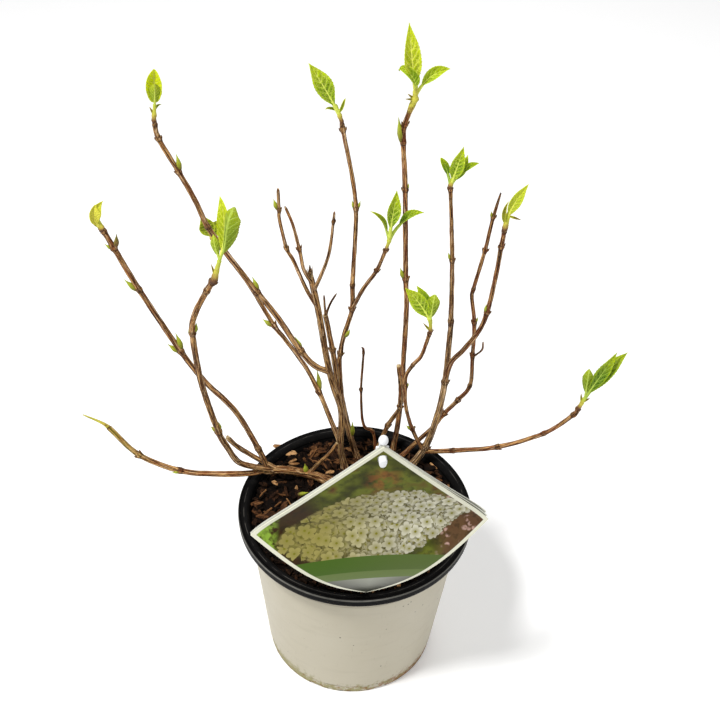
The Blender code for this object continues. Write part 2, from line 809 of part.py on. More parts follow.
def make_mix(plant, finish):
    """The bark mix: a turned fill, with chips of bark sunk into its top, clear of the limbs' feet."""
    clearance = WALL_THICKNESS + STEP_DEPTH + LINER_THICKNESS + 2 * GAP
    bottom = FLOOR_THICKNESS + GAP
    shoulder = MIX_TOP - MIX_SHOULDER
    profile = [
        (0, MIX_TOP),
        (MIX_FLAT_RADIUS, MIX_TOP),
        (wall_radius(shoulder) - clearance, shoulder),
        (wall_radius(bottom) - clearance, bottom),
        (0, bottom),
    ]
    mix = turned("potting_mix", profile, plant)
    feet = [Vector(spec["foot"]) for spec in LIMBS.values() if "foot" in spec]
    feet.append(Vector(stake_foot()[:2]))
    draw = random.Random(CHIP_SEED)
    chips = []
    while len(chips) < CHIP_COUNT:
        reach = (MIX_FLAT_RADIUS - CHIP_EDGE_MARGIN) * math.sqrt(draw.random())
        heading = draw.uniform(0, math.tau)
        spot = Vector((reach * math.cos(heading), reach * math.sin(heading)))
        size = [draw.uniform(*limits) for limits in (CHIP_LENGTH, CHIP_WIDTH, CHIP_HEIGHT)]
        turn = Matrix.Rotation(draw.uniform(0, math.tau), 3, "Z") @ Matrix.Rotation(draw.uniform(*CHIP_LEAN), 3, "Y")
        if min((spot - foot).length for foot in feet) < FOOT_CLEARANCE:
            continue
        chips.append(box("chip", size, (*spot, MIX_TOP), turn, plant))
    mix = combined(mix, chips, "UNION")
    mix.data.materials.append(finish)


def tag_axes():
    """The tag's own directions: across it, up it and out of its front."""
    turn = math.radians(TAG_TURN)
    tip = math.radians(TAG_TIP_FORWARD)
    spin = math.radians(TAG_SPIN)
    across = Vector((math.cos(turn), math.sin(turn), 0))
    front = Vector((math.sin(turn), -math.cos(turn), 0))
    up = UP * math.cos(tip) + front * math.sin(tip)
    right = across * math.cos(spin) + up * math.sin(spin)
    rise = up * math.cos(spin) - across * math.sin(spin)
    return right, rise, right.cross(rise)


def tag_bulge(rise):
    """How far the tag's lower half stands out: it is pushed down into the pot and bows forward."""
    half = TAG_SIDE / math.sqrt(2)
    if rise < 0:
        return TAG_BULGE * math.sin(math.pi * (rise + half) / half)
    return -TAG_BULGE * math.pi / half * rise * math.exp(-rise / TAG_BULGE_FADE)


def tag_point(right_share, rise_share, back):
    """A place on the tag, from shares of its half diagonals, set back from its front face."""
    half = TAG_SIDE / math.sqrt(2)
    right, rise, front = tag_axes()
    shift = Vector(TAG_LOW_SHIFT) * min(0.0, rise_share) ** 2 + Vector(TAG_LEFT_SHIFT) * min(0.0, right_share) ** 2
    across = right_share * half + shift[0]
    height = (rise_share + 1) * half + shift[1]
    out = tag_bulge(rise_share * half) - back + shift[2]
    return Vector(TAG_LOW_CORNER) + right * across + rise * height + front * out


def tag_sheet(name, thickness, set_back, fan, plant, cutters, finish):
    """One square sheet of the tag with the slot near its top corner, fanned back towards its right corner."""
    bm = bmesh.new()
    bmesh.ops.create_grid(bm, x_segments=TAG_CELLS, y_segments=TAG_CELLS, size=0.5)
    for vert in bm.verts:
        right_share = vert.co.x + vert.co.y
        rise_share = vert.co.y - vert.co.x
        spread = fan * max(0.0, right_share) ** PAGE_FAN_POWER
        vert.co = tag_point(right_share, rise_share, set_back + spread) * MM
    obj = add_bmesh(name, bm, plant)
    skin = obj.modifiers.new("thickness", "SOLIDIFY")
    skin.thickness = thickness * MM
    skin.offset = 0.0
    obj = settled(obj)
    slot = peg(f"{name}_slot", SLOT_GROWTH, SLOT_REACH, cutters)
    obj = combined(obj, [as_cutter(slot)], "DIFFERENCE")
    obj.data.materials.append(finish)


def peg(name, grow, reach, collection):
    """The oval peg that goes through the tag's slot, or the cutter for the slot."""
    half = TAG_SIDE / math.sqrt(2)
    right, rise, front = tag_axes()
    middle = tag_point(0, 1 - PEG_BELOW_CORNER / half, 0)
    bm = bmesh.new()
    bmesh.ops.create_cone(bm, cap_ends=True, segments=12, radius1=0.5 * MM, radius2=0.5 * MM, depth=reach * MM)
    bmesh.ops.scale(bm, vec=(PEG_SIZE[0] + grow, PEG_SIZE[1] + grow, 1.0), verts=bm.verts)
    turn = Matrix((right, rise, front)).transposed().to_4x4()
    bmesh.ops.transform(bm, matrix=Matrix.Translation(middle * MM) @ turn, verts=bm.verts)
    return add_bmesh(name, bm, collection)


def stake_foot():
    """Where the tag's stake meets the mix."""
    front = tag_axes()[2]
    foot = Vector(TAG_LOW_CORNER) - front * (STAKE_BACK + STAKE_SLANT)
    return Vector((foot.x, foot.y, FOOT_LEVEL))


def make_stake(plant, finish):
    """The flat stake behind the tag, with a knob above the corner and a peg through the slot."""
    right = tag_axes()[0]
    top = tag_point(0, 1, STAKE_BACK)
    foot = stake_foot()
    up = (top - foot).normalized()
    depth = right.cross(up).normalized()
    turn = Matrix((right, depth, up)).transposed()
    length = (top - foot).length - STAKE_BELOW_CORNER
    neck = STAKE_BELOW_CORNER + 2 * KNOB_START
    strip = box("tag_stake", (STAKE_WIDTH, STAKE_THICKNESS, length), foot + up * length / 2, turn, plant)
    extras = [
        box("neck", (NECK_WIDTH, STAKE_THICKNESS, neck), top + up * (2 * KNOB_START - neck / 2), turn, plant),
        cone("knob", top + up * KNOB_START, up, KNOB_LENGTH, *KNOB_RADII, plant),
        peg("slot_peg", 0, PEG_REACH, plant),
    ]
    stake = combined(strip, extras, "UNION")
    flat_foot(stake, FOOT_LEVEL)
    stake.data.materials.append(finish)


def make_tag(plant, cutters, card_finish, page_finish, stake_finish):
    tag_sheet("tag_card", TAG_CARD, 0.0, 0.0, plant, cutters, card_finish)
    for number, (set_back, fan) in enumerate(zip(PAGE_BACKS, PAGE_FANS), start=2):
        tag_sheet(f"tag_page_{number}", TAG_PAGE, set_back, fan, plant, cutters, page_finish)
    make_stake(plant, stake_finish)


def main():
    clear_scene()
    plant = new_collection("hydrangea_shrub")
    cutters = new_collection("cutters")
    bark = material("bark", (0.24, 0.13, 0.06), 0.75)
    green = material("leaf", (0.33, 0.48, 0.06), 0.5)
    white = material("pot_white", (0.78, 0.76, 0.70), 0.45)
    black = material("pot_black", (0.02, 0.02, 0.022), 0.4)
    mix = material("bark_mix", (0.06, 0.03, 0.018), 0.95)
    card = material("tag_print", (0.42, 0.45, 0.30), 0.35)
    page = material("tag_paper", (0.80, 0.82, 0.78), 0.4)
    stake = material("stake_white", (0.85, 0.86, 0.88), 0.35)
    make_pot_wall(plant, cutters, white)
    make_pot_lip(plant, black)
    make_mix(plant, mix)
    make_tag(plant, cutters, card, page, stake)
    paths = make_limbs(plant, cutters, bark)
    make_tufts(plant, paths, green)


main()
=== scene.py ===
# A potted hydrangea in early spring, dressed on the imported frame. Lengths are in millimetres.
import json
import math
import random

import bpy
from mathutils import Matrix, Vector, noise

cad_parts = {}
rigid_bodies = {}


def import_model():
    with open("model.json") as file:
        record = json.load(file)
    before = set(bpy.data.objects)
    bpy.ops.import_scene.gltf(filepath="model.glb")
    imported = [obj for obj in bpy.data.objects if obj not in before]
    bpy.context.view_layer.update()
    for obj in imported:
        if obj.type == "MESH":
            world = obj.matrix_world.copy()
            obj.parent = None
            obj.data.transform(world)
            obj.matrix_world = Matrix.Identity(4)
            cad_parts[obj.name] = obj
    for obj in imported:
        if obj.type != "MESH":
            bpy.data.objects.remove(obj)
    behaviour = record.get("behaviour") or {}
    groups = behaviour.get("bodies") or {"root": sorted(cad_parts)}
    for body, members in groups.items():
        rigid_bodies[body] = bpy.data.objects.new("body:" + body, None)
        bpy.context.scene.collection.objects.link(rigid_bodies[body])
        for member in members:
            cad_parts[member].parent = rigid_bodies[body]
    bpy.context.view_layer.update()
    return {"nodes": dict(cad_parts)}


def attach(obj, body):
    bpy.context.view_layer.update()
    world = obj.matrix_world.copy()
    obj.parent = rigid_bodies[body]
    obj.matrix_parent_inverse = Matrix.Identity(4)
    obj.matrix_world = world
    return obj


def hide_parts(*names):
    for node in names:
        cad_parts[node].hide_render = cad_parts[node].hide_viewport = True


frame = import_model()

mm = 0.001
print("frame loaded:", len(frame["nodes"]), "nodes")


# Tools for pieces.

def deselectAll():
    if bpy.context.object and bpy.context.object.mode != "OBJECT":
        bpy.ops.object.mode_set(mode="OBJECT")
    bpy.ops.object.select_all(action="DESELECT")


def makeActive(piece):
    deselectAll()
    piece.select_set(True)
    bpy.context.view_layer.objects.active = piece


def newPiece(name):
    # the primitive that was just added
    piece = bpy.context.object
    piece.name = name
    piece.data.name = name
    return piece


def applyModifier(piece, kind, **settings):
    makeActive(piece)
    step = piece.modifiers.new(kind.lower(), kind)
    for setting, value in settings.items():
        setattr(step, setting, value)
    bpy.ops.object.modifier_apply(modifier=step.name)


def finishPiece(piece, paint, nodes=(), smooth=40):
    makeActive(piece)
    bpy.ops.object.transform_apply(location=True, rotation=True, scale=True)
    bpy.ops.object.shade_smooth_by_angle(angle=math.radians(smooth))
    if paint:
        piece.data.materials.clear()
        piece.data.materials.append(paint.material)
    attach(piece, "root")
    if nodes:
        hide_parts(*nodes)
    return piece


def lathe(name, rings, steps, joined=False):
    # a circle extruded from ring to ring of (radius, height); a joined one ends where it began
    deselectAll()
    radius, height = rings[0]
    bpy.ops.mesh.primitive_circle_add(
        vertices=steps, radius=radius * mm, location=(0, 0, height * mm),
        fill_type="NOTHING" if joined else "NGON",
    )
    piece = newPiece(name)
    bpy.ops.object.mode_set(mode="EDIT")
    bpy.ops.mesh.select_all(action="SELECT")
    for (oldRadius, oldHeight), (radius, height) in zip(rings, rings[1:]):
        bpy.ops.mesh.extrude_region_move(TRANSFORM_OT_translate={"value": (0, 0, (height - oldHeight) * mm)})
        grow = radius / oldRadius
        bpy.ops.transform.resize(value=(grow, grow, 1), center_override=(0, 0, height * mm))
    if joined:
        bpy.ops.mesh.select_all(action="SELECT")
        bpy.ops.mesh.remove_doubles(threshold=0.01 * mm)
    bpy.ops.mesh.select_all(action="SELECT")
    bpy.ops.mesh.normals_make_consistent(inside=False)
    bpy.ops.object.mode_set(mode="OBJECT")
    bpy.ops.object.transform_apply(location=True, rotation=False, scale=False)
    return piece


def cutAway(piece, cutter):
    applyModifier(piece, "BOOLEAN", operation="DIFFERENCE", object=cutter)
    bpy.data.objects.remove(cutter, do_unlink=True)


class Heap:
    # points, faces and marks gathered into one joined mesh; a mark is four numbers a point
    def __init__(self, *marks):
        self.points = []
        self.faces = []
        self.marks = {mark: [] for mark in marks}

    def add(self, points, faces, **marks):
        first = len(self.points)
        self.points += points
        self.faces += [[first + corner for corner in face] for face in faces]
        for mark, values in marks.items():
            self.marks[mark] += values

    def piece(self, name):
        mesh = bpy.data.meshes.new(name)
        mesh.from_pydata([point * mm for point in self.points], [], self.faces)
        for mark, values in self.marks.items():
            layer = mesh.attributes.new(mark, "FLOAT_COLOR", "POINT")
            layer.data.foreach_set("color", [number for value in values for number in value])
        made = bpy.data.objects.new(name, mesh)
        bpy.context.scene.collection.objects.link(made)
        return made


def gridFaces(rows, columns, wrap=False):
    # faces between rows of points, round again to the first column for a tube
    faces = []
    for row in range(rows - 1):
        for column in range(columns if wrap else columns - 1):
            after = (column + 1) % columns
            faces.append((row * columns + column, row * columns + after,
                          (row + 1) * columns + after, (row + 1) * columns + column))
    return faces


# Tools for finishes.

def rgb(red, green, blue):
    # a colour as seen on the screen, 0 to 255, as Blender's linear one
    linear = [(part / 255 / 12.92 if part < 10.3 else ((part / 255 + 0.055) / 1.055) ** 2.4)
              for part in (red, green, blue)]
    return (*linear, 1)


class Wire:
    # a socket that can be added, multiplied and so on
    def __init__(self, paint, socket):
        self.paint = paint
        self.socket = socket

    def maths(self, operation, first, second=0.0):
        return self.paint.node("ShaderNodeMath", {"operation": operation}, {0: first, 1: second})

    def __add__(self, other):
        return self.maths("ADD", self, other)

    def __radd__(self, other):
        return self.maths("ADD", other, self)

    def __sub__(self, other):
        return self.maths("SUBTRACT", self, other)

    def __rsub__(self, other):
        return self.maths("SUBTRACT", other, self)

    def __mul__(self, other):
        return self.maths("MULTIPLY", self, other)

    def __rmul__(self, other):
        return self.maths("MULTIPLY", other, self)

    def __pow__(self, other):
        return self.maths("POWER", self, other)

    def larger(self, other):
        return self.maths("MAXIMUM", self, other)

    def size(self):
        return self.maths("ABSOLUTE", self)

    def cosine(self):
        return self.maths("COSINE", self)

    def sine(self):
        return self.maths("SINE", self)


class Paint:
    # a material: plain values go straight onto the shader, patterns through nodes
    def __init__(self, name, **plain):
        self.material = bpy.data.materials.new(name)
        self.material.use_nodes = True
        self.tree = self.material.node_tree
        self.shader = self.tree.nodes["Principled BSDF"]
        for socket, value in plain.items():
            self.shader.inputs[socket.replace("_", " ")].default_value = value

    def node(self, kind, settings={}, sockets={}, output=0):
        made = self.tree.nodes.new(kind)
        for setting, value in settings.items():
            if setting == "stops":
                while len(made.color_ramp.elements) < len(value):
                    made.color_ramp.elements.new(1)
                for element, (position, colour) in zip(made.color_ramp.elements, value):
                    element.position = position
                    element.color = colour
            else:
                setattr(made, setting, value)
        for socket, value in sockets.items():
            if isinstance(value, Wire):
                self.tree.links.new(value.socket, made.inputs[socket])
            else:
                made.inputs[socket].default_value = value
        return Wire(self, made.outputs[output])

    def feed(self, **patterns):
        for socket, pattern in patterns.items():
            self.tree.links.new(pattern.socket, self.shader.inputs[socket.replace("_", " ")])

    def where(self, stretch=(1, 1, 1)):
        # Object coordinates in millimetres, stretched as told
        coordinates = self.node("ShaderNodeTexCoord", output="Object")
        return self.scaled(coordinates, [1000 * part for part in stretch])

    def scaled(self, place, stretch):
        return self.node("ShaderNodeVectorMath", {"operation": "MULTIPLY"}, {0: place, 1: stretch})

    def parts(self, place):
        return [self.node("ShaderNodeSeparateXYZ", {}, {0: place}, output=part) for part in range(3)]

    def mark(self, name):
        # the four numbers of a mark
        colour = self.node("ShaderNodeAttribute", {"attribute_name": name}, output="Color")
        last = self.node("ShaderNodeAttribute", {"attribute_name": name}, output="Alpha")
        return [*self.parts(colour), last]

    def cloud(self, place, grain, detail=3.0, rough=0.55):
        # noise whose blotches are about as many millimetres as the grain
        sockets = {"Vector": place, "Scale": 1 / grain, "Detail": detail, "Roughness": rough}
        return self.node("ShaderNodeTexNoise", {}, sockets)

    def cells(self, place, grain, output="Distance", **settings):
        sockets = {"Vector": place, "Scale": 1 / grain}
        return self.node("ShaderNodeTexVoronoi", settings, sockets, output=output)

    def fade(self, value, low, high):
        # 0 at low, 1 at high, eased between
        settings = {"interpolation_type": "SMOOTHSTEP"}
        return self.node("ShaderNodeMapRange", settings, {"Value": value, "From Min": low, "From Max": high})

    def ramp(self, factor, *stops):
        return self.node("ShaderNodeValToRGB", {"stops": stops}, {"Fac": factor})

    def mix(self, factor, first, second):
        # the first colour, covered by the second as far as the factor says
        return self.node("ShaderNodeMix", {"data_type": "RGBA"}, {0: factor, 6: first, 7: second}, output=2)

    def bump(self, height, depth, strength=1.0):
        # depth in millimetres
        sockets = {"Height": height, "Distance": depth * mm, "Strength": strength}
        return self.node("ShaderNodeBump", {}, sockets)


# The pot's white wall.

potWall = dict(
    steps=192, baseRadius=62.0, topRadius=75.5, flareHeight=128, top=127.7, thickness=1.2, floor=3.0,
    # the underside's rings as radius and height: a raised middle, then the flat that the pot stands on
    underside=((20, 0.6), (44, 0.6), (46, 0), (57, 0)), footRadius=60.2, footRound=1.3, footSteps=6,
    stepBelowTop=8.0, stepAboveBase=8.0, stepDepth=0.3, groove=0.25, ringStep=4.0,
    notches=8, notch=(6.0, 9.0, 2.0), notchBevel=0.8, waviness=0.12, waveGrain=(2.2, 12),
)


def wallRadius(height):
    # the wall widens evenly from its base to its top
    widening = potWall["topRadius"] - potWall["baseRadius"]
    return potWall["baseRadius"] + widening * height / potWall["flareHeight"]


def potWallProfile():
    # rings of (radius, height), from the underside up the outside and down the inside
    look = potWall
    top = look["top"]
    upper = top - look["stepBelowTop"]
    lower = look["stepAboveBase"]
    depth = look["stepDepth"]
    groove = look["groove"]
    inner = look["thickness"]
    rings = list(look["underside"])
    for turn in range(look["footSteps"] + 1):
        angle = math.radians(90 * turn / look["footSteps"])
        radius = look["footRadius"] + look["footRound"] * math.sin(angle)
        rings.append((radius, look["footRound"] - look["footRound"] * math.cos(angle)))
    # a groove under the lower step
    rings.append((wallRadius(lower - 1) - 2 * depth, lower - 1))
    rings += [(wallRadius(lower) - 2 * depth - groove, level) for level in (lower - 0.4, lower)]
    rings.append((wallRadius(lower + 0.6) - depth, lower + 0.6))
    height = lower + 2
    while height < upper - 2:
        rings.append((wallRadius(height) - depth, height))
        height += look["ringStep"]
    # the upper step, then the rounded top edge
    rings.append((wallRadius(upper - 1) - depth, upper - 1))
    rings += [(wallRadius(upper - 0.5) - depth - 0.2, upper - 0.5), (wallRadius(upper), upper)]
    rings += [(wallRadius(top) - 0.15, top - 0.3), (wallRadius(top) - 0.45, top)]
    rings += [(wallRadius(top) - inner, top - 0.2), (wallRadius(look["floor"]) - inner, look["floor"])]
    return rings + [(20, look["floor"])]


def potWhitePaint():
    paint = Paint("potWhite", IOR=1.47, Specular_IOR_Level=0.35)
    place = paint.where()
    across, _, height = paint.parts(place)
    colour = paint.mix(paint.cloud(place, 60), rgb(196, 189, 170), rgb(184, 176, 153))
    smear = paint.cloud(paint.where((0.5, 0.5, 2)), 14, 4)
    colour = paint.mix(paint.fade(smear, 0.5, 0.75) * 0.16, colour, rgb(160, 152, 130))
    speckle = paint.fade(paint.cells(place, 4.5), 0.17, 0.11) * paint.fade(paint.cloud(place, 11), 0.6, 0.64)
    colour = paint.mix(speckle * 0.85, colour, rgb(44, 36, 26))
    scuff = paint.fade(paint.cloud(paint.where((1, 1, 0.16)), 1.4, 5), 0.64, 0.72)
    colour = paint.mix(scuff * 0.22, colour, rgb(142, 130, 104))
    # two faint dark lines under the rim; the upper one, under the step, is painted shade
    ridges = paint.fade((height - 119.4).size(), 0.45, 0.1) + paint.fade((height - 116.4).size(), 0.4, 0.1)
    colour = paint.mix(ridges * 0.55, colour, rgb(104, 97, 80))
    # soil, rust and moss low down
    low = paint.fade(height, 24, 1)
    moss = paint.cloud(place, 4, 6, 0.65) + low * 0.3 + paint.fade(across, 0, -50) * 0.12
    moss = paint.fade(moss, 0.7, 0.84)
    colour = paint.mix(moss * low * 0.75, colour, rgb(140, 134, 74))
    rust = paint.cloud(place, 3.2, 5, 0.7) + low * 0.25 + paint.fade(across, 0, 50) * 0.13
    rust = paint.fade(rust, 0.76, 0.88)
    colour = paint.mix(rust * low * 0.85, colour, rgb(136, 92, 50))
    seam = paint.fade((height - 7.8).size(), 0.6, 0.2) * paint.fade(paint.cloud(place, 7), 0.45, 0.56)
    colour = paint.mix(seam * 0.8, colour, rgb(96, 78, 48))
    foot = paint.fade(height, 3.4, 0.6) * paint.fade(paint.cloud(place, 3, 4, 0.7), 0.5, 0.58)
    colour = paint.mix(foot * 0.9, colour, rgb(54, 42, 30))
    ripple = paint.cloud(place, 18, 2) + 0.06 * paint.cloud(place, 0.5, 2)
    rough = 0.38 + 0.16 * paint.cloud(place, 9) + 0.3 * moss * low
    paint.feed(Base_Color=colour, Roughness=rough, Normal=paint.bump(ripple, 0.5, 0.35))
    return paint


def makePotWall():
    look = potWall
    wall = lathe("pot_wall_shell", potWallProfile(), look["steps"])
    around, up = look["waveGrain"]
    for point in wall.data.vertices:
        flat = Vector((point.co.x, point.co.y, 0))
        if flat.length > 50 * mm and point.co.z > 1.5 * mm:
            outward = flat.normalized()
            wave = noise.noise(Vector((outward.x * around, outward.y * around, point.co.z * up)))
            point.co += outward * wave * look["waviness"] * mm
    for number in range(look["notches"]):
        heading = math.tau * (number + 0.5) / look["notches"]
        spot = Vector((math.cos(heading), math.sin(heading), 0)) * look["baseRadius"] * mm
        deselectAll()
        bpy.ops.mesh.primitive_cube_add(size=1, location=spot, rotation=(0, 0, heading))
        notch = newPiece("notch")
        deep, wide, tall = look["notch"]
        notch.scale = (deep * mm, wide * mm, 2 * tall * mm)
        makeActive(notch)
        bpy.ops.object.transform_apply(location=False, rotation=False, scale=True)
        applyModifier(notch, "BEVEL", width=look["notchBevel"] * mm, segments=3)
        cutAway(wall, notch)
    finishPiece(wall, potWhitePaint(), ["pot_wall"], smooth=35)
    print("pot wall done")


# The black liner and its rolled lip.

potLip = dict(
    steps=192, rimRadius=82.5, linerRadius=73.2,
    # rings of (reach past the radius, height): up the liner's inside and over
    linerInside=((-2.3, 105.0), (-0.1, 127.5), (0.3, 129.3), (1.3, 131.7), (2.2, 133.2), (3.0, 134.0),
                 (3.9, 134.35), (4.9, 134.42)),
    # the rolled rim and its skirt
    rim=((-3.4, 134.36), (-2.9, 134.42), (-2.6, 134.72), (-2.2, 134.95), (-1.7, 135.0), (-1.2, 134.96),
         (-0.7, 134.76), (-0.3, 134.35), (-0.05, 133.7), (0, 133.0), (-0.05, 131.6), (-0.25, 129.6),
         (-0.35, 128.4), (-0.55, 128.05), (-1.0, 128.0), (-1.5, 128.1), (-1.8, 128.5), (-2.2, 132.0),
         (-5.5, 132.2)),
    # back under the rim and down the liner's outside
    linerOutside=((2.6, 131.4), (1.2, 128.2), (0.8, 127.2), (-1.5, 105.0)),
)


def potLipProfile():
    rings = []
    for part in ("linerInside", "rim", "linerOutside"):
        radius = potLip["rimRadius"] if part == "rim" else potLip["linerRadius"]
        rings += [(radius + reach, height) for reach, height in potLip[part]]
    return rings + rings[:1]


def potBlackPaint():
    paint = Paint("potBlack", IOR=1.48, Specular_IOR_Level=0.03)
    place = paint.where()
    across, deep, height = paint.parts(place)
    radius = (across * across + deep * deep) ** 0.5
    grain = paint.cloud(place, 0.7, 3)
    colour = paint.mix(paint.cloud(place, 12), rgb(14, 14, 14), rgb(20, 19, 19))
    dust = paint.fade(paint.cells(place, 2.2), 0.16, 0.05) * paint.fade(paint.cloud(place, 14), 0.52, 0.66)
    colour = paint.mix(dust * 0.6, colour, rgb(112, 94, 74))
    film = paint.fade(paint.cloud(place, 6, 5, 0.65), 0.5, 0.8)
    colour = paint.mix(film * 0.06, colour, rgb(96, 90, 84))
    # a pale line along the outer ridge, a painted highlight, between two dark lines of painted shade; then a
    # broken painted highlight along the inner ledge
    worn = paint.fade((radius - 82.3).size(), 0.35, 0.1) * paint.fade(height, 132.8, 133.6)
    colour = paint.mix(worn * (0.25 + 0.5 * paint.cloud(place, 5)), colour, rgb(150, 148, 140))
    groove = paint.fade((radius - 80.9).size(), 0.5, 0.2) + paint.fade((height - 131.4).size(), 0.5, 0.2)
    colour = paint.mix(groove * 0.9, colour, rgb(0, 0, 0))
    # a broken pale line along the inner ledge: painted highlight
    ledgeHighlight = paint.fade((radius - 78.4).size(), 0.35, 0.1) * paint.fade(paint.cloud(place, 9), 0.4, 0.6)
    colour = paint.mix(ledgeHighlight * 0.4, colour, rgb(110, 106, 100))
    rough = 0.32 + 0.16 * paint.cloud(place, 5) + 0.2 * film
    paint.feed(Base_Color=colour, Roughness=rough, Normal=paint.bump(grain - 2 * groove, 0.12, 0.4))
    return paint


def makePotLip():
    lip = lathe("pot_lip_ring", potLipProfile(), potLip["steps"], joined=True)
    finishPiece(lip, potBlackPaint(), ["pot_lip"], smooth=35)
    print("pot lip done")


# The bark mix: a dark bed, and chips of bark heaped on it.

barkMix = dict(
    bedRadius=73.4, bedTop=127.9, edgeGap=0.7, bottom=3.4, bottomGap=3, shoulder=(1.3, 126), ringStep=1.6,
    steps=150, seed=11,
    # the bed's lumps: how high they are, and the grain and share of each size
    roughness=0.66, lumps=((9, 0.8), (3.1, 0.5), (1.3, 0.25)),
    # a chip: how many corners and how uneven they are, its thickness, its bow and tilt, and its rings of
    # width, level and lightness, the upper rim lightest: a painted highlight
    corners=(5, 8), cornerShift=0.3, cornerReach=(0.75, 1.15), ripple=0.1, thick=(0.9, 2.0), bow=0.25,
    tilt=(0.22, 0.3),
    rings=((0.86, -0.5, 0.0), (1.0, -0.1, 0.3), (0.94, 0.4, 1.0), (0.66, 0.5, 0.4)),
    # how near the edge the border's chips and the others lie
    borderGap=1, borderWidth=4, innerGap=3,
    # tones run from 0 for black over brown to 1 for tan; slim is the width's share of the length
    chips=dict(
        black=dict(count=520, length=(3, 9), slim=(0.35, 0.7), tone=(0.0, 0.2), lift=(0.3, 2.3)),
        dark=dict(count=400, length=(5, 15), slim=(0.3, 0.6), tone=(0.08, 0.34), lift=(0.3, 2.4)),
        brown=dict(count=200, length=(6, 18), slim=(0.25, 0.5), tone=(0.28, 0.6), lift=(0.5, 2.4)),
        slivers=dict(count=120, length=(7, 19), slim=(0.1, 0.2), tone=(0.3, 0.7), lift=(0.9, 2.7)),
        tan=dict(count=20, length=(3, 7), slim=(0.35, 0.7), tone=(0.7, 0.9), lift=(0.8, 2.3)),
        border=dict(count=190, length=(3, 8), slim=(0.3, 0.6), tone=(0.08, 0.5), lift=(1.4, 3.0)),
    ),
    chosenLift=2.4, chosenThick=1.6,
    # the chips that stand out: place, length, width, heading, tone
    chosen=(
        ((-50.5, 54.5), 11.5, 6.4, -12, 0.9), ((-58.5, 60.0), 12, 5, -20, 0.7),
        ((-47.5, 46.5), 9, 2.6, 35, 0.8), ((-46.0, 43.0), 9, 2.2, 15, 0.72),
        ((-33.0, 56.5), 14, 4.5, 75, 0.6), ((-21.5, 48.0), 10, 4, -35, 0.62),
        ((-19.5, 36.5), 8, 3.6, 20, 0.82), ((-73.0, 27.0), 8, 5, 60, 0.5), ((-70.5, 3.0), 10, 5, 20, 0.58),
        ((-77.0, 6.0), 9, 4, 80, 0.6), ((-61.0, -8.0), 14, 6, 30, 0.4), ((57.0, 48.0), 10.5, 3.6, -48, 0.8),
        ((66.5, 27.5), 5, 2.6, 95, 0.8), ((60.0, 33.0), 9, 3, -30, 0.6), ((47.5, -61), 6, 3.4, 60, 0.72),
        ((14, -70.5), 3.2, 2.4, 75, 0.9), ((-37, -68), 5, 3, 10, 0.55), ((31, -64), 6, 4, 120, 0.75),
        ((-4, 60), 12, 5, 160, 0.6), ((4, 36), 11, 4, 20, 0.66),
    ),
)


def mixHeight(across, deep):
    # the level of the lumpy bed
    place = Vector((across, deep, 0))
    lumps = sum(noise.noise(place / grain) * share for grain, share in barkMix["lumps"])
    return barkMix["bedTop"] + barkMix["roughness"] * lumps


def mixBedPaint():
    paint = Paint("mixBed", Roughness=0.9, IOR=1.4, Specular_IOR_Level=0.1)
    place = paint.where()
    crumbs = paint.cloud(place, 1.6, 5, 0.7)
    colour = paint.mix(paint.fade(crumbs, 0.45, 0.7), rgb(9, 6, 5), rgb(40, 27, 18))
    paint.feed(Base_Color=colour, Normal=paint.bump(crumbs, 0.6, 0.9))
    return paint


def barkMixPaint():
    # each chip has its own tone, with the grain along it
    paint = Paint("barkChips", Roughness=0.85, IOR=1.4, Specular_IOR_Level=0.12)
    along, across, tone, edge = paint.mark("chipMarks")
    place = paint.where()
    spot = paint.node("ShaderNodeCombineXYZ", {}, {0: along * 0.16, 1: across, 2: tone * 60})
    streak = paint.cloud(spot, 1.1, 5, 0.68)
    ragged = paint.cloud(place, 0.9, 5, 0.7)
    # upper rims a little lighter: painted highlight
    value = tone + 0.75 * (streak - 0.5) + 0.4 * (ragged - 0.5) + 0.1 * edge
    value = value + 0.6 * (paint.cloud(place, 16, 3) - 0.63)
    tint = paint.ramp(value, (0.0, rgb(8, 5, 4)), (0.2, rgb(21, 13, 8)), (0.4, rgb(50, 31, 19)),
                      (0.56, rgb(90, 58, 35)), (0.72, rgb(140, 97, 58)), (0.9, rgb(204, 158, 108)))
    crack = paint.fade(streak, 0.46, 0.38)
    tint = paint.mix(crack * 0.8, tint, rgb(14, 8, 5))
    height = streak + 0.6 * ragged
    paint.feed(Base_Color=tint, Normal=paint.bump(height, 0.6, 1.0))
    return paint


def addChip(heap, place, length, width, thick, turn, tone, draw):
    # a flake with a few ragged corners, narrower on top
    look = barkMix
    corners = draw.randint(*look["corners"])
    outline = []
    for corner in range(corners):
        angle = math.tau * (corner + draw.uniform(-look["cornerShift"], look["cornerShift"])) / corners
        reach = draw.uniform(*look["cornerReach"])
        outline.append((0.5 * length * reach * math.cos(angle), 0.5 * width * reach * math.sin(angle)))
    points = []
    marks = []
    for share, level, edge in look["rings"]:
        for across, deep in outline:
            ripple = draw.uniform(-look["ripple"], look["ripple"])
            bow = look["bow"] * thick * (1 - (2 * across / length) ** 2)
            spot = Vector((across * share, deep * share, (level + ripple) * thick + bow))
            points.append(place + turn @ spot)
            marks.append((across, deep, tone, edge))
    faces = gridFaces(len(look["rings"]), corners, wrap=True)
    faces.append(list(range(corners))[::-1])
    faces.append(list(range(len(points) - corners, len(points))))
    heap.add(points, faces, chipMarks=marks)


def makeBed():
    look = barkMix
    inset, level = look["shoulder"]
    rings = [(wallRadius(look["bottom"]) - look["bottomGap"], look["bottom"])]
    rings.append((look["bedRadius"] - inset, level))
    radius = look["bedRadius"] - look["edgeGap"]
    while radius > 1:
        rings.append((radius, look["bedTop"]))
        radius -= look["ringStep"]
    bed = lathe("mix_bed", rings, look["steps"])
    for point in bed.data.vertices:
        if point.co.z > (level + 1) * mm:
            point.co.z = mixHeight(point.co.x / mm, point.co.y / mm) * mm
    finishPiece(bed, mixBedPaint(), ["potting_mix"], 60)


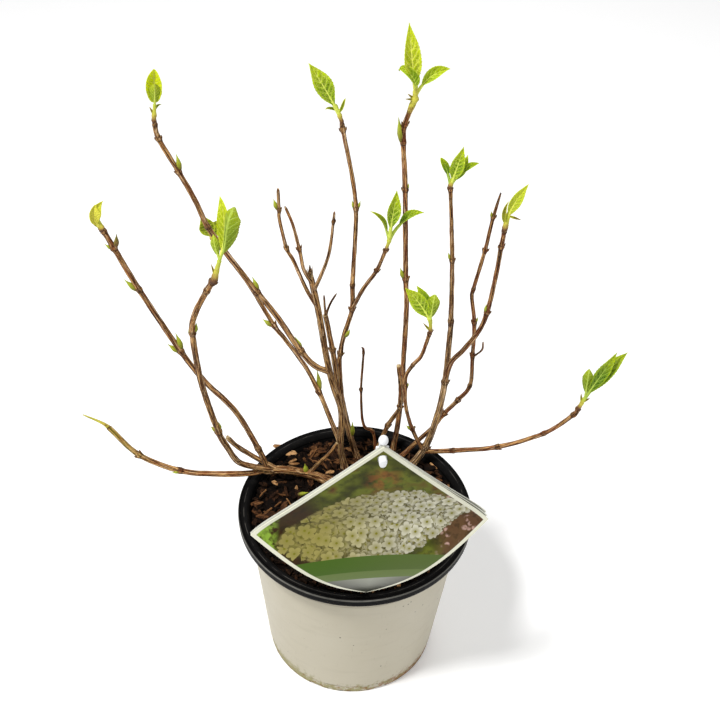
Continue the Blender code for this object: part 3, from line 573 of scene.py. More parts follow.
def scatterChip(heap, kind, onBorder, draw):
    look = barkMix
    reach = look["bedRadius"] - look["borderGap"] - look["borderWidth"] * draw.random()
    if not onBorder:
        reach = (look["bedRadius"] - look["innerGap"]) * math.sqrt(draw.random())
    heading = draw.uniform(0, math.tau)
    across, deep = reach * math.cos(heading), reach * math.sin(heading)
    length = draw.uniform(*kind["length"]) * draw.uniform(0.7, 1)
    length = min(length, 2 * (look["bedRadius"] - reach) + look["innerGap"])
    width = length * draw.uniform(*kind["slim"])
    thick = min(draw.uniform(*look["thick"]), 0.3 + width)
    pitch, roll = look["tilt"]
    turn = Matrix.Rotation(draw.uniform(0, math.tau), 3, "Z")
    turn = turn @ Matrix.Rotation(draw.gauss(0, pitch), 3, "Y") @ Matrix.Rotation(draw.gauss(0, roll), 3, "X")
    level = mixHeight(across, deep) + draw.uniform(*kind["lift"])
    tone = draw.uniform(*kind["tone"])
    addChip(heap, Vector((across, deep, level)), length, width, thick, turn, tone, draw)


def makeBarkMix():
    look = barkMix
    draw = random.Random(look["seed"])
    makeBed()
    paint = barkMixPaint()
    for name, kind in look["chips"].items():
        heap = Heap("chipMarks")
        for _ in range(kind["count"]):
            scatterChip(heap, kind, name == "border", draw)
        finishPiece(heap.piece(f"chips_{name}"), paint, smooth=30)
    heap = Heap("chipMarks")
    for (across, deep), length, width, heading, tone in look["chosen"]:
        turn = Matrix.Rotation(math.radians(heading), 3, "Z")
        turn = turn @ Matrix.Rotation(draw.uniform(-0.12, 0.12), 3, "Y")
        place = Vector((across, deep, mixHeight(across, deep) + look["chosenLift"]))
        addChip(heap, place, length, width, look["chosenThick"], turn, tone, draw)
    finishPiece(heap.piece("chips_chosen"), paint, smooth=30)
    print("bark mix done")


# The square tag: a printed card, two pages behind it and a stake.

plantTag = dict(
    side=104.0, lowCorner=(7.2, -77.3, 134.9), turn=9.7, tipForward=3.9, spin=-2.4, bulge=10.0,
    lowShift=(2.7, 0.0, -1.9), leftShift=(-1.4, -2.0, 0.0),
    card=0.8, page=0.4, pageBacks=(1.0, 1.8), pageFans=(2.1, 4.2), cells=56,
    pegSize=(4.7, 7.8), pegReach=8.8, pegBelowCorner=10.6, pegFlare=0.34, pegSquare=1.08, pegShare=0.86,
    stakeWidth=7.6, stakeThickness=1.4, stakeBack=3.2, stakeSlant=6.0, stakeFootLevel=128.2,
    stakeBelowCorner=3.4, bevel=0.4, neckWidth=4.6, knobStart=0.4,
    # the knob's rings above its start: radius and height
    knob=((2.1, 0), (2.7, 0.3), (2.9, 1.2), (2.85, 2.1), (2.65, 3.0), (2.3, 3.8), (1.75, 4.45), (1.0, 4.85),
          (0.3, 5.0)),
    # the print's flowers, back to front: how far apart, petal length, brightness
    flowers=((0.05, 0.032, 0.72), (0.07, 0.042, 0.86), (0.095, 0.05, 1.0)),
)


def tagAxes():
    turn = math.radians(plantTag["turn"])
    tip = math.radians(plantTag["tipForward"])
    spin = math.radians(plantTag["spin"])
    across = Vector((math.cos(turn), math.sin(turn), 0))
    front = Vector((math.sin(turn), -math.cos(turn), 0))
    up = Vector((0, 0, 1)) * math.cos(tip) + front * math.sin(tip)
    right = across * math.cos(spin) + up * math.sin(spin)
    rise = up * math.cos(spin) - across * math.sin(spin)
    return right, rise, right.cross(rise)


def tagBulge(rise):
    # pushed down into the pot, the lower half bows forward
    half = plantTag["side"] / math.sqrt(2)
    if rise < 0:
        return plantTag["bulge"] * math.sin(math.pi * (rise + half) / half)
    return -plantTag["bulge"] * math.pi / half * rise * math.exp(-rise / 8)


def tagPoint(rightShare, riseShare, back):
    half = plantTag["side"] / math.sqrt(2)
    right, rise, front = tagAxes()
    shift = Vector(plantTag["lowShift"]) * min(0.0, riseShare) ** 2
    shift += Vector(plantTag["leftShift"]) * min(0.0, rightShare) ** 2
    across = rightShare * half + shift[0]
    height = (riseShare + 1) * half + shift[1]
    out = tagBulge(riseShare * half) - back + shift[2]
    return Vector(plantTag["lowCorner"]) + right * across + rise * height + front * out


def tagPeg(name, grow, reach):
    # the rounded peg through the slot, or the cutter for the slot
    half = plantTag["side"] / math.sqrt(2)
    wide, tall = plantTag["pegSize"]
    deselectAll()
    bpy.ops.mesh.primitive_cylinder_add(vertices=40, radius=0.5, depth=1, location=(0, 0, 0))
    peg = newPiece(name)
    applyModifier(peg, "BEVEL", width=0.12, segments=3, limit_method="ANGLE")
    right, rise, front = tagAxes()
    for point in peg.data.vertices:
        # a rounded trapezoid, wider above
        widen = 1 + plantTag["pegFlare"] * point.co.y
        squared = plantTag["pegSquare"] if abs(point.co.x * point.co.y) > 0.08 else 1.0
        point.co.x *= widen * squared * (wide + grow)
        point.co.y *= squared * (tall + grow) * plantTag["pegShare"]
        point.co.z *= reach
    middle = tagPoint(0, 1 - plantTag["pegBelowCorner"] / half, 0)
    turn = Matrix((right, rise, front)).transposed().to_4x4()
    peg.data.transform(Matrix.Scale(mm, 4) @ Matrix.Translation(middle) @ turn)
    return peg


def tagSheet(name, thickness, setBack, fan):
    deselectAll()
    cells = plantTag["cells"]
    bpy.ops.mesh.primitive_grid_add(x_subdivisions=cells, y_subdivisions=cells, size=1)
    sheet = newPiece(name)
    draw = random.Random(len(name))
    shift = draw.uniform(0, 50)
    for point in sheet.data.vertices:
        rightShare = point.co.x + point.co.y
        riseShare = point.co.y - point.co.x
        wave = 0.35 * noise.noise(Vector((rightShare * 1.6 + shift, riseShare * 1.6, 0)))
        spread = fan * max(0.0, rightShare) ** 1.5
        point.co = tagPoint(rightShare, riseShare, setBack + spread + wave * abs(rightShare)) * mm
    applyModifier(sheet, "SOLIDIFY", thickness=thickness * mm, offset=0.0)
    cutAway(sheet, tagPeg("slot", 1.0, 12))
    return sheet


def printGround(paint, flat, right, rise, fine):
    # blurred green and brown with a reddish glow above, pink specks at the right and lime green at the left
    blur = paint.cloud(flat, 0.2, 2)
    picture = paint.ramp(blur, (0.32, rgb(34, 32, 8)), (0.44, rgb(70, 74, 16)), (0.54, rgb(100, 108, 32)),
                         (0.66, rgb(92, 58, 24)))
    brown = paint.fade(-0.9 * right - 0.5 * rise + 0.5 * (blur - 0.5), 0.16, 0.4)
    picture = paint.mix(brown * 0.9, picture, rgb(50, 24, 8))
    glow = paint.fade(((right - 0.04) * (right - 0.04) + (rise - 0.6) * (rise - 0.6)) ** 0.5, 0.2, 0.05)
    picture = paint.mix(glow * paint.fade(fine, 0.4, 0.55) * 0.6, picture, rgb(146, 82, 40))
    corner = paint.fade(right, 0.5, 0.66)
    picture = paint.mix(corner * 0.9, picture, rgb(96, 66, 46))
    pink = paint.fade(paint.cells(flat, 0.04), 0.5, 0.25) * corner * paint.fade(fine, 0.42, 0.56)
    picture = paint.mix(pink * 0.8, picture, rgb(214, 176, 164))
    lime = paint.fade(right, -0.76, -0.84) * paint.fade(fine, 0.35, 0.5)
    picture = paint.mix(lime * 0.9, picture, rgb(142, 176, 62))
    shadow = paint.fade(paint.cloud(flat, 0.045, 3), 0.5, 0.34)
    return paint.mix(shadow * 0.4, picture, rgb(26, 26, 10))


def drift(right, rise):
    # above 0 inside the slanting drift of flowers
    return 0.4 - 0.62 * right * right - (rise - 0.03 - 0.16 * right).size()


def printFlowers(paint, flat, right, grain, size, bright, picture):
    # a flower of five petals in the middle of each cell
    first, second, _ = paint.parts(flat)
    own = paint.parts(paint.cells(flat, grain, "Color"))
    atFirst, atSecond, _ = paint.parts(paint.cells(flat, grain, "Position"))
    acrossFlower = first - atFirst
    upFlower = second - atSecond
    reach = (acrossFlower * acrossFlower + upFlower * upFlower) ** 0.5
    angle = paint.node("ShaderNodeMath", {"operation": "ARCTAN2"}, {0: upFlower, 1: acrossFlower})
    lobes = (angle * 2.5 + own[0] * 6).cosine().size()
    inside = paint.fade(drift(atFirst + atSecond - 1, atSecond - atFirst), 0.0, 0.01)
    petal = paint.fade(size * (0.6 + 0.4 * lobes) - reach, -0.001, 0.004) * inside
    halo = paint.fade(size * 1.15 - reach, -0.004, 0.012) * inside
    picture = paint.mix(halo * 0.5, picture, rgb(78, 74, 34))
    cream = paint.mix(paint.fade(right, -0.5, 0.45), rgb(160, 150, 84), rgb(210, 207, 186))
    cream = paint.mix(1 - bright * (0.7 + 0.3 * own[1]), cream, rgb(84, 76, 34))
    shade = paint.mix(paint.fade(reach, 0.75 * size, 0.1 * size) * 0.6, cream, rgb(134, 128, 58))
    picture = paint.mix(petal, picture, shade)
    heart = paint.fade(reach, 0.2 * size, 0.1 * size) * inside
    return paint.mix(heart, picture, rgb(120, 116, 36))


def printFoot(paint, right, rise, picture):
    # a curved green band, lighter along its foot, and a pale tip that darkens towards its point, painted
    # shade where the card dips into the pot
    curve = rise + 0.1 * right * right
    green = paint.mix(paint.fade(right, -0.5, 0.5), rgb(70, 100, 26), rgb(86, 104, 50))
    picture = paint.mix(paint.fade(curve, -0.27, -0.276), picture, green)
    picture = paint.mix(paint.fade(curve, -0.45, -0.455), picture, rgb(104, 122, 66))
    # the tip darkens towards its point: painted shade
    foot = paint.mix(paint.fade(rise - 0.5 * right.size(), -0.5, -0.92), rgb(168, 170, 156), rgb(64, 65, 56))
    return paint.mix(paint.fade(curve, -0.56, -0.565), picture, foot)


def tagPrintPaint():
    # a generic garden print; right and rise run from -1 to 1 between the card's corners
    paint = Paint("tagPrint", IOR=1.5, Specular_IOR_Level=0.08)
    flat = paint.node("ShaderNodeUVMap")
    first, second, _ = paint.parts(flat)
    right = first + second - 1
    rise = second - first
    fine = paint.cloud(flat, 0.07, 3)
    picture = printGround(paint, flat, right, rise, fine)
    under = paint.fade(drift(right, rise) + 0.1 * (fine - 0.5), -0.03, 0.02)
    leaves = paint.mix(paint.fade(fine, 0.4, 0.6), rgb(72, 66, 26), rgb(138, 128, 74))
    picture = paint.mix(under, picture, leaves)
    for grain, size, bright in plantTag["flowers"]:
        picture = printFlowers(paint, flat, right, grain, size, bright, picture)
    picture = printFoot(paint, right, rise, picture)
    # the cream border
    edge = right.size() + rise.size()
    picture = paint.mix(paint.fade(edge, 0.952, 0.958), picture, rgb(228, 227, 206))
    rough = 0.3 + 0.1 * paint.cloud(flat, 0.05)
    paint.feed(Base_Color=picture, Roughness=rough, Normal=paint.bump(paint.cloud(flat, 0.25, 1), 0.3, 0.2))
    return paint


def tagPagePaint():
    # white, with the painted shadow of the sheet before it, a dark line inside its edge
    paint = Paint("tagPage", IOR=1.5)
    place = paint.where()
    first, second, _ = paint.parts(paint.node("ShaderNodeUVMap"))
    edge = (first + second - 1).size() + (second - first).size()
    colour = paint.mix(paint.cloud(place, 20), rgb(238, 238, 226), rgb(222, 222, 206))
    cardShadow = paint.fade((edge - 0.979).size(), 0.011, 0.006)
    colour = paint.mix(cardShadow * 0.85, colour, rgb(58, 56, 46))
    fibre = paint.cloud(place, 0.6, 4)
    paint.feed(Base_Color=colour, Roughness=0.38 + 0.15 * fibre, Normal=paint.bump(fibre, 0.06, 0.3))
    return paint


def stakeWhitePaint():
    paint = Paint("stakeWhite", IOR=1.46)
    place = paint.where()
    colour = paint.mix(paint.cloud(place, 9), rgb(243, 244, 245), rgb(232, 234, 236))
    dirt = paint.fade(paint.parts(place)[2], 138, 129) * paint.fade(paint.cloud(place, 2, 5), 0.45, 0.6)
    colour = paint.mix(dirt * 0.6, colour, rgb(120, 96, 70))
    grain = paint.cloud(place, 1.2, 3)
    paint.feed(Base_Color=colour, Roughness=0.36 + 0.1 * grain, Normal=paint.bump(grain, 0.06, 0.3))
    return paint


def makeStake():
    # a flat strip with a narrower neck, a rounded knob above it and the peg through the pages' slots
    look = plantTag
    right, _, front = tagAxes()
    top = tagPoint(0, 1, look["stakeBack"])
    foot = Vector(look["lowCorner"]) - front * (look["stakeBack"] + look["stakeSlant"])
    foot.z = look["stakeFootLevel"]
    up = (top - foot).normalized()
    depth = right.cross(up).normalized()
    turn = Matrix((right, depth, up)).transposed().to_4x4()
    tall = (top - foot).length
    strips = []
    for wide, low, high in ((look["stakeWidth"], 0, tall - look["stakeBelowCorner"]),
                            (look["neckWidth"], tall - 8, tall + 2 * look["knobStart"])):
        deselectAll()
        bpy.ops.mesh.primitive_cube_add(size=1, location=(0, 0, 0.5 * (low + high)))
        strip = newPiece("tag_stake_strip")
        strip.scale = (wide, look["stakeThickness"], high - low)
        bpy.ops.object.transform_apply(location=True, rotation=False, scale=True)
        applyModifier(strip, "BEVEL", width=look["bevel"], segments=3)
        strips.append(strip)
    base = tall + look["knobStart"]
    knob = lathe("tag_stake_knob", [(radius, base + height) for radius, height in look["knob"]], 40)
    knob.data.transform(Matrix.Scale(1 / mm, 4))
    makeActive(strips[0])
    strips[1].select_set(True)
    knob.select_set(True)
    bpy.ops.object.join()
    strips[0].data.transform(Matrix.Scale(mm, 4) @ Matrix.Translation(foot) @ turn)
    peg = tagPeg("slot_peg", 0, look["pegReach"])
    makeActive(strips[0])
    peg.select_set(True)
    bpy.ops.object.join()
    finishPiece(strips[0], stakeWhitePaint(), ["tag_stake"], smooth=35)


def makeTag():
    look = plantTag
    pagePaint = tagPagePaint()
    card = tagSheet("tag_card_sheet", look["card"], 0.0, 0.0)
    finishPiece(card, tagPrintPaint(), ["tag_card"])
    for number, (setBack, fan) in enumerate(zip(look["pageBacks"], look["pageFans"]), start=2):
        page = tagSheet(f"tag_page_{number}_sheet", look["page"], setBack, fan)
        finishPiece(page, pagePaint, [f"tag_page_{number}"])
    makeStake()
    print("tag done")


# Limbs. A foot is where a limb leaves the mix, and a parent is the limb that it springs from and how far
# along. The girth is its thickness at each end, and the tone is how red, grey and pale its bark is. It ends
# in leaves unless an end says cut, torn or dead. Green is the length of its end that is greener and how much
# so, gnarl is how rough its outline is, dry is over what length a dead end tapers and how dark it is there,
# and splinters have a count, length and girth. A run is a length, a lean from upright and a heading, 0 to the
# right and 90 to the back. Nodes number the runs that end in a swollen joint. A bud has its run's number, a
# heading, a length, and maybe how far it leans out and its tone. A twig has its run's number, a girth and
# runs of its own.

limbs = {
    "stool_left": dict(
        foot=(-21, 30), girth=(6.4, 5.8), tone=(0.3, 0.2, 0.5), end="cut", gnarl=3.2,
        runs=((17, 68, 180), (16, 74, 187), (15, 87, 186)),
    ),
    "cane_broken": dict(
        foot=(-9, 43), girth=(5.0, 4.2), tone=(0.2, 0.5, 0.5), end="torn", splinters=(7, 6, 1.1),
        runs=((22, 11, 153), (32, 2, 85), (24, 16, 163), (23, 15, 149), (38, 10, 153), (32, 12, 162)),
        twigs=((6, (2.4, 0.8), ((7, 14, 100),)), (6, (2.2, 0.8), ((6, 20, 260),)),
               (6, (2.0, 0.8), ((5, 12, 20),))),
    ),
    "cane_cut": dict(
        foot=(0, 54), girth=(4.6, 3.5), tone=(0.2, 0.5, 0.4), end="cut", nodes=(4,),
        runs=((20, 19, 153), (29, 15, 147), (25, 15, 143), (22, 12, 138), (29, 13, 150)),
        buds=((1, 350, 13), (3, 20, 4)),
        twigs=((5, (1.8, 1.3), ((18, 5, 150),)), (5, (1.8, 1.3), ((10, 16, 10), (11, 24, 5)))),
    ),
    "twig_dead": dict(
        foot=(13, 66), girth=(2.2, 1.6), tone=(1.0, 0.0, 0.0), end="dead", dry=(4.0, 0.9), nodes=(1, 3, 4),
        runs=((13, 21, 121), (10, 47, 172), (30, 11, 119), (32, 7, 82), (6, 14, 176)),
    ),
    "cane_tallest": dict(
        foot=(26, 62), girth=(3.9, 3.1), tone=(0.9, 0.1, 0.4), green=(9.0, 1.0), nodes=(3, 4, 5, 6),
        runs=((42, 5, 31), (87, 3, 91), (28, 5, 144), (67, 5, 135), (33, 6, 147), (13, 1, 38), (18, 16, 336)),
        buds=((3, 190, 8), (5, 185, 17, 0.12), (4, 0, 4)),
    ),
    "stub_rough": dict(
        foot=(14, 61), girth=(3.5, 2.9), tone=(0.5, 0.1, 0.6), end="cut", gnarl=1.6, splinters=(5, 3, 0.8),
        nodes=(1, 2),
        runs=((32, 14, 337), (24, 21, 333), (22, 6, 249), (21, 8, 220)),
    ),
    "cane_right": dict(
        foot=(40, 48), girth=(5.5, 2.3), tone=(0.5, 1.0, 0.4), nodes=(1, 3, 5, 6),
        runs=((23, 23, 357), (29, 14, 20), (30, 12, 56), (35, 6, 85), (15, 13, 90), (48, 6, 125),
              (53, 7, 144)),
        buds=((3, 120, 5), (6, 180, 5)),
    ),
    "cane_back_right": dict(
        foot=(32, 57), girth=(3.3, 2.4), tone=(0.9, 0.1, 0.3), end="dead", dry=(14.0, 0.7),
        nodes=(3, 4, 5, 6, 7, 9, 10, 11),
        runs=((22, 34, 0), (16, 37, 6), (13, 44, 33), (14, 59, 37), (14, 50, 39), (25, 12, 91), (27, 9, 106),
              (20, 15, 129), (7, 8, 56), (30, 14, 43), (25, 12, 51), (19, 12, 32)),
        buds=((7, 0, 4), (11, 190, 4)),
        twigs=((6, (1.6, 1.3), ((5, 40, 311), (9, 31, 317), (9, 12, 264))),),
    ),
    "cane_low_left": dict(
        parent=("stool_left", 47), girth=(4.4, 3.6), tone=(0.6, 0.0, 0.7), end="dead", green=(44.0, 0.25),
        nodes=(3, 4, 5),
        runs=((12, 86, 203), (24, 87, 188), (25, 85, 181), (31, 69, 174), (31, 46, 165)),
        buds=((3, 100, 6), (3, 260, 5)),
        twigs=((5, (2.6, 0.9), ((6, 60, 166), (14, 74, 167))),),
        twigGreen=(40.0, 0.95),
    ),
    "cane_far_left": dict(
        parent=("stool_left", 45), girth=(4.1, 3.5), tone=(0.5, 0.2, 0.3), nodes=(1, 4, 5, 6),
        runs=((22, 17, 178), (38, 24, 176), (31, 38, 177), (30, 32, 173), (54, 26, 175), (34, 23, 176),
              (14, 25, 171)),
        buds=((4, 190, 9), (4, 10, 13), (5, 190, 11), (6, 190, 5, 0.8, 0.8), (6, 10, 9, 0.9, 0.42)),
    ),
    "cane_near_left": dict(
        parent=("stool_left", 41), girth=(4.4, 3.7), tone=(0.3, 0.3, 0.5), nodes=(3, 5, 7),
        runs=((27, 60, 200), (22, 26, 204), (19, 18, 211), (52, 12, 223), (49, 10, 258), (20, 16, 307),
              (24, 25, 330), (10, 28, 338)),
        buds=((3, 190, 6), (3, 30, 7), (5, 190, 3), (5, 20, 8)),
    ),
    "stub_near_left": dict(
        parent=("stool_left", 38), girth=(3.8, 3.4), tone=(0.3, 0.3, 0.6), end="torn", gnarl=1.6,
        splinters=(5, 4, 0.9),
        runs=((32, 52, 181), (18, 35, 196)),
    ),
    "twig_bark": dict(
        parent=("stool_left", 15), girth=(3.0, 2.0), tone=(0.2, 0.2, 0.5), end="cut",
        runs=((14, 44, 23), (9, 44, 20), (10, 34, 22)),
    ),
    "cane_centre": dict(
        parent=("cane_cut", 53), girth=(3.6, 2.5), tone=(0.5, 0.1, 0.6), nodes=(2, 4, 5, 7, 9),
        runs=((37, 8, 244), (12, 5, 294), (16, 7, 342), (25, 12, 355), (19, 6, 99), (30, 6, 80), (26, 7, 92),
              (21, 9, 148), (33, 13, 156), (5, 9, 179)),
        buds=((3, 340, 8), (7, 170, 5), (7, 10, 5)),
    ),
    "cane_top_left": dict(
        parent=("cane_broken", 91), girth=(4.3, 3.2), tone=(0.4, 0.4, 0.3), nodes=(2, 4, 6, 8, 9),
        runs=((11, 86, 157), (15, 55, 151), (29, 39, 154), (22, 46, 154), (30, 42, 157), (26, 37, 160),
              (20, 26, 153), (22, 30, 159), (25, 30, 162), (12, 9, 178)),
        buds=((2, 20, 9), (4, 10, 10), (8, 10, 11)),
    ),
    "cane_back_left": dict(
        parent=("cane_broken", 24), girth=(3.5, 2.8), tone=(0.3, 0.3, 0.6), nodes=(3, 6),
        runs=((15, 42, 128), (16, 40, 129), (10, 44, 130), (21, 41, 139), (24, 50, 145), (13, 50, 148),
              (32, 39, 147), (25, 47, 148), (17, 50, 151)),
        buds=((3, 30, 15), (6, 180, 8)),
    ),
    "twig_broken_a": dict(
        parent=("cane_broken", 143), girth=(2.8, 2.0), tone=(0.4, 0.3, 0.7), end="dead", nodes=(3, 5),
        runs=((14, 36, 154), (23, 26, 156), (10, 31, 156), (21, 15, 148), (7, 9, 102), (15, 8, 110)),
        buds=((5, 190, 7),),
    ),
    "twig_broken_b": dict(
        parent=("cane_broken", 163), girth=(2.8, 1.7), tone=(0.4, 0.3, 0.6), end="dead", nodes=(2,),
        runs=((16, 26, 222), (15, 14, 147), (17, 21, 137), (13, 28, 147)),
    ),
    "twig_broken_c": dict(
        parent=("cane_broken", 157), girth=(2.8, 1.6), tone=(0.3, 0.4, 0.3), end="dead", nodes=(3,),
        runs=((15, 23, 314), (22, 16, 340), (25, 6, 340), (8, 4, 0)),
    ),
    "bough_near_right": dict(
        parent=("cane_right", 19), girth=(2.8, 2.5), tone=(0.8, 0.1, 0.4), nodes=(1, 3, 5),
        runs=((28, 22, 205), (26, 15, 207), (21, 9, 245), (12, 9, 270), (12, 21, 331), (13, 27, 330),
              (25, 15, 306)),
        buds=((1, 190, 5), (3, 0, 3)),
    ),
    "bough_right": dict(
        parent=("cane_right", 82), girth=(3.7, 2.8), tone=(0.8, 0.2, 0.3), nodes=(4, 6),
        runs=((21, 11, 310), (16, 29, 345), (19, 26, 353), (18, 13, 346), (30, 5, 339), (25, 5, 290),
              (14, 5, 299)),
        buds=((4, 190, 6),),
    ),
    "bough_low_right": dict(
        parent=("cane_right", 19), girth=(3.6, 3.0), tone=(0.7, 0.1, 0.3), nodes=(2, 3, 4, 5),
        runs=((8, 73, 342), (15, 76, 352), (32, 76, 356), (35, 62, 358), (26, 44, 1), (7, 22, 357)),
    ),
    "bough_centre": dict(
        parent=("cane_centre", 90), girth=(2.9, 2.4), tone=(0.4, 0.2, 0.5), nodes=(2,),
        runs=((26, 24, 312), (25, 29, 310), (26, 25, 297)),
    ),
}

bark = dict(
    sides=22, twigSides=12, ringStep=0.7, footLevel=129.0, sunkFoot=4.0, seed=5,
    # how much thicker a node, a foot and a fork are, how far that reaches, and where a flare ends
    swell=(0.25, 1.9), footFlare=(0.22, 6, math.inf), forkFlare=(0.2, 3, 5),
    # the relief's height and its grain round and along the limb
    ridge=0.15, fibre=(2.6, 0.07), fineFibre=(5.5, 0.22), knob=0.17, lump=(0.8, 0.16),
    # fingers of a torn end
    fingers=9, fingerLength=5.5,
    marks=("barkPlace", "barkMarks", "barkTone"),
)
# buds that sprout apart from a node: place, lean, heading, length, width
sprouts = (((-36.5, 30.5, 134.5), 6, 200, 11.0, 3.8), ((-41.5, 12.0, 131.8), 84, 14, 8.0, 2.4))


def way(lean, heading):
    lean = math.radians(lean)
    heading = math.radians(heading)
    return Vector((math.sin(lean) * math.cos(heading), math.sin(lean) * math.sin(heading), math.cos(lean)))


def bend(before, start, end, after, share):
    # a point of the smooth curve through four joints
    square = share * share
    cube = square * share
    return 0.5 * (
        2 * start
        + (end - before) * share
        + (2 * before - 5 * start + 4 * end - after) * square
        + (3 * start - before - 3 * end + after) * cube
    )


def curveThrough(start, runs, spacing):
    # points along a limb, each with the distance walked to it
    joints = [Vector(start)]
    for length, lean, heading in runs:
        joints.append(joints[-1] + length * way(lean, heading))
    ends = [2 * joints[0] - joints[1]] + joints + [2 * joints[-1] - joints[-2]]
    spots = []
    walked = 0.0
    for number, run in enumerate(runs):
        pieces = max(2, round(run[0] / spacing))
        for piece in range(pieces):
            spots.append((bend(*ends[number:number + 4], piece / pieces), walked + run[0] * piece / pieces))
        walked += run[0]
    spots.append((joints[-1], walked))
    return spots


def along(spots, distance):
    # the point and direction at a distance along a limb
    for (start, walked), (end, after) in zip(spots, spots[1:]):
        if distance <= after:
            return start.lerp(end, (distance - walked) / (after - walked)), (end - start).normalized()
    return spots[-1][0].copy(), (spots[-1][0] - spots[-2][0]).normalized()


def joint(spec, start, number):
    # the point and the direction at the end of a limb's numbered run
    point = Vector(start)
    direction = Vector((0, 0, 1))
    for length, lean, heading in spec["runs"][:number]:
        direction = way(lean, heading)
        point = point + length * direction
    return point, direction


def sideways(spots):
    # directions along and across at each point, carried on without a twist
    frames = []
    across = None
    for number in range(len(spots)):
        before = spots[max(0, number - 1)][0]
        after = spots[min(len(spots) - 1, number + 1)][0]
        forward = (after - before).normalized()
        if across is None:
            across = forward.cross(Vector((0.0, 0.0, 1.0)))
            if across.length < 0.1:
                across = Vector((1.0, 0.0, 0.0))
        across = (across - forward * across.dot(forward)).normalized()
        frames.append((forward, across, forward.cross(across)))
    return frames


def sweep(heap, spots, sides, shape):
    # a closed tube; shape gives the radius and the heap's marks for a distance and an angle
    points = []
    marks = {name: [] for name in heap.marks}
    for (centre, walked), (_, across, up) in zip(spots, sideways(spots)):
        for side in range(sides):
            angle = math.tau * side / sides
            radius, values = shape(walked, angle)
            points.append(centre + (across * math.cos(angle) + up * math.sin(angle)) * radius)
            for name, value in zip(marks, values):
                marks[name].append(value)
    faces = gridFaces(len(spots), sides, wrap=True)
    for row, outward, centre in ((0, False, spots[0][0]), (len(spots) - 1, True, spots[-1][0])):
        hub = len(points)
        points.append(centre)
        for name in marks:
            marks[name].append(marks[name][row * sides])
        for side in range(sides):
            pair = [row * sides + side, row * sides + (side + 1) % sides]
            faces.append([*(pair if outward else pair[::-1]), hub])
    heap.add(points, faces, **marks)


def findNodes(spec, spots, draw):
    # each swollen joint: its distance, the angle that its buds face, its point and its directions
    frames = sideways(spots)
    wanted = []
    walked = 0.0
    for number, run in enumerate(spec["runs"], start=1):
        walked += run[0]
        if number in spec.get("nodes", ()):
            wanted.append(walked)
    if "end" not in spec and "green" not in spec:
        wanted.append(spots[-1][1] - 1.0)
    found = []
    for number, at in enumerate(wanted):
        index = min(range(len(spots)), key=lambda item: abs(spots[item][1] - at))
        forward, across, up = frames[index]
        facing = math.atan2(up.x, across.x) + math.radians(draw.uniform(-30, 30))
        if number % 3 == 2:
            facing += math.pi / 2
        found.append((at, facing, spots[index][0], forward, across, up))
    return found


def hump(offset, reach):
    # 1 in the middle of a rounded hump, fading past its reach
    return math.exp(-((offset / reach) ** 2))


def grain(spin, at, size, shift):
    around, onward = size
    return noise.noise(Vector((spin.x * around, spin.y * around, at * onward + shift)))


def barkShape(spec, whole, shift, turns, draw):
    # gives the radius and marks of a limb's bark; turns are the distance and facing of each node
    first, last = spec["girth"]
    end = spec.get("end", "leafy")
    length, most = spec.get("green", (0.0, 0.0))
    taper, dark = spec.get("dry", (2.2, 0.0))
    gnarl = spec.get("gnarl", 1.0)
    swell, swellReach = bark["swell"]
    flare, flareReach, flareEnd = bark["footFlare"] if "foot" in spec else bark["forkFlare"]
    fingers = [draw.uniform(0.0, bark["fingerLength"]) for _ in range(bark["fingers"])]

    def shape(at, angle):
        radius = 0.5 * (first + (last - first) * max(0.0, at) / whole)
        ring = 0.0
        scar = 0.0
        for spot, facing in turns:
            near = at - spot
            if abs(near) > 8:
                continue
            radius *= 1 + swell * hump(near, swellReach)
            ring += hump(near + 1.2, 0.45) + 0.7 * hump(near - 1.5, 0.4)
            scar += hump(near + 0.2, 1.5) * max(0.0, abs(math.cos(angle - facing)) - 0.4) / 0.6
        if at < flareEnd:
            radius *= 1 + flare * hump(max(0.0, at), flareReach)
        left = whole - at
        fresh = most * max(0.0, min(1.0, 1.6 - 1.6 * left / length)) if length else 0.0
        if end == "leafy":
            radius *= 1 + 0.25 * fresh
        spin = Vector((math.cos(angle), math.sin(angle), 0))
        fibre = grain(spin, at, bark["fibre"], shift) + 0.5 * grain(spin, at, bark["fineFibre"], -shift)
        lump = grain(spin, at, bark["lump"], 2 * shift)
        relief = (bark["ridge"] * (1 - 0.6 * fresh) * fibre + bark["knob"] * lump) * gnarl
        relief += 0.32 * scar - 0.14 * min(1, ring)
        radius += relief * min(1.0, 0.5 * last)
        bare = 0.0
        if end == "torn":
            tear = fingers[int(angle / math.tau * len(fingers)) % len(fingers)]
            if left < tear:
                radius *= max(0.12, left / tear) ** 0.5 if left > 0 else 0.1
                bare = 1.0
        elif end == "cut":
            bare = 1.0 if left < 0.4 else 0.0
            radius *= 0.2 if left <= 0 else 1.0
        elif end == "dead":
            radius *= 0.35 + 0.65 * max(0.0, min(1.0, left / taper)) ** 0.6
            ring += dark * max(0.0, 1 - left / taper) ** 0.7
        else:
            radius *= 0.72 + 0.28 * max(0.0, min(1.0, left / 1.2))
        place = (spin.x * radius, spin.y * radius, at + shift, 0.0)
        worn = (min(1, ring), min(1, scar), bare, max(0.0, 1 - left / whole))
        return radius, (place, worn, (*spec["tone"], fresh))

    return shape


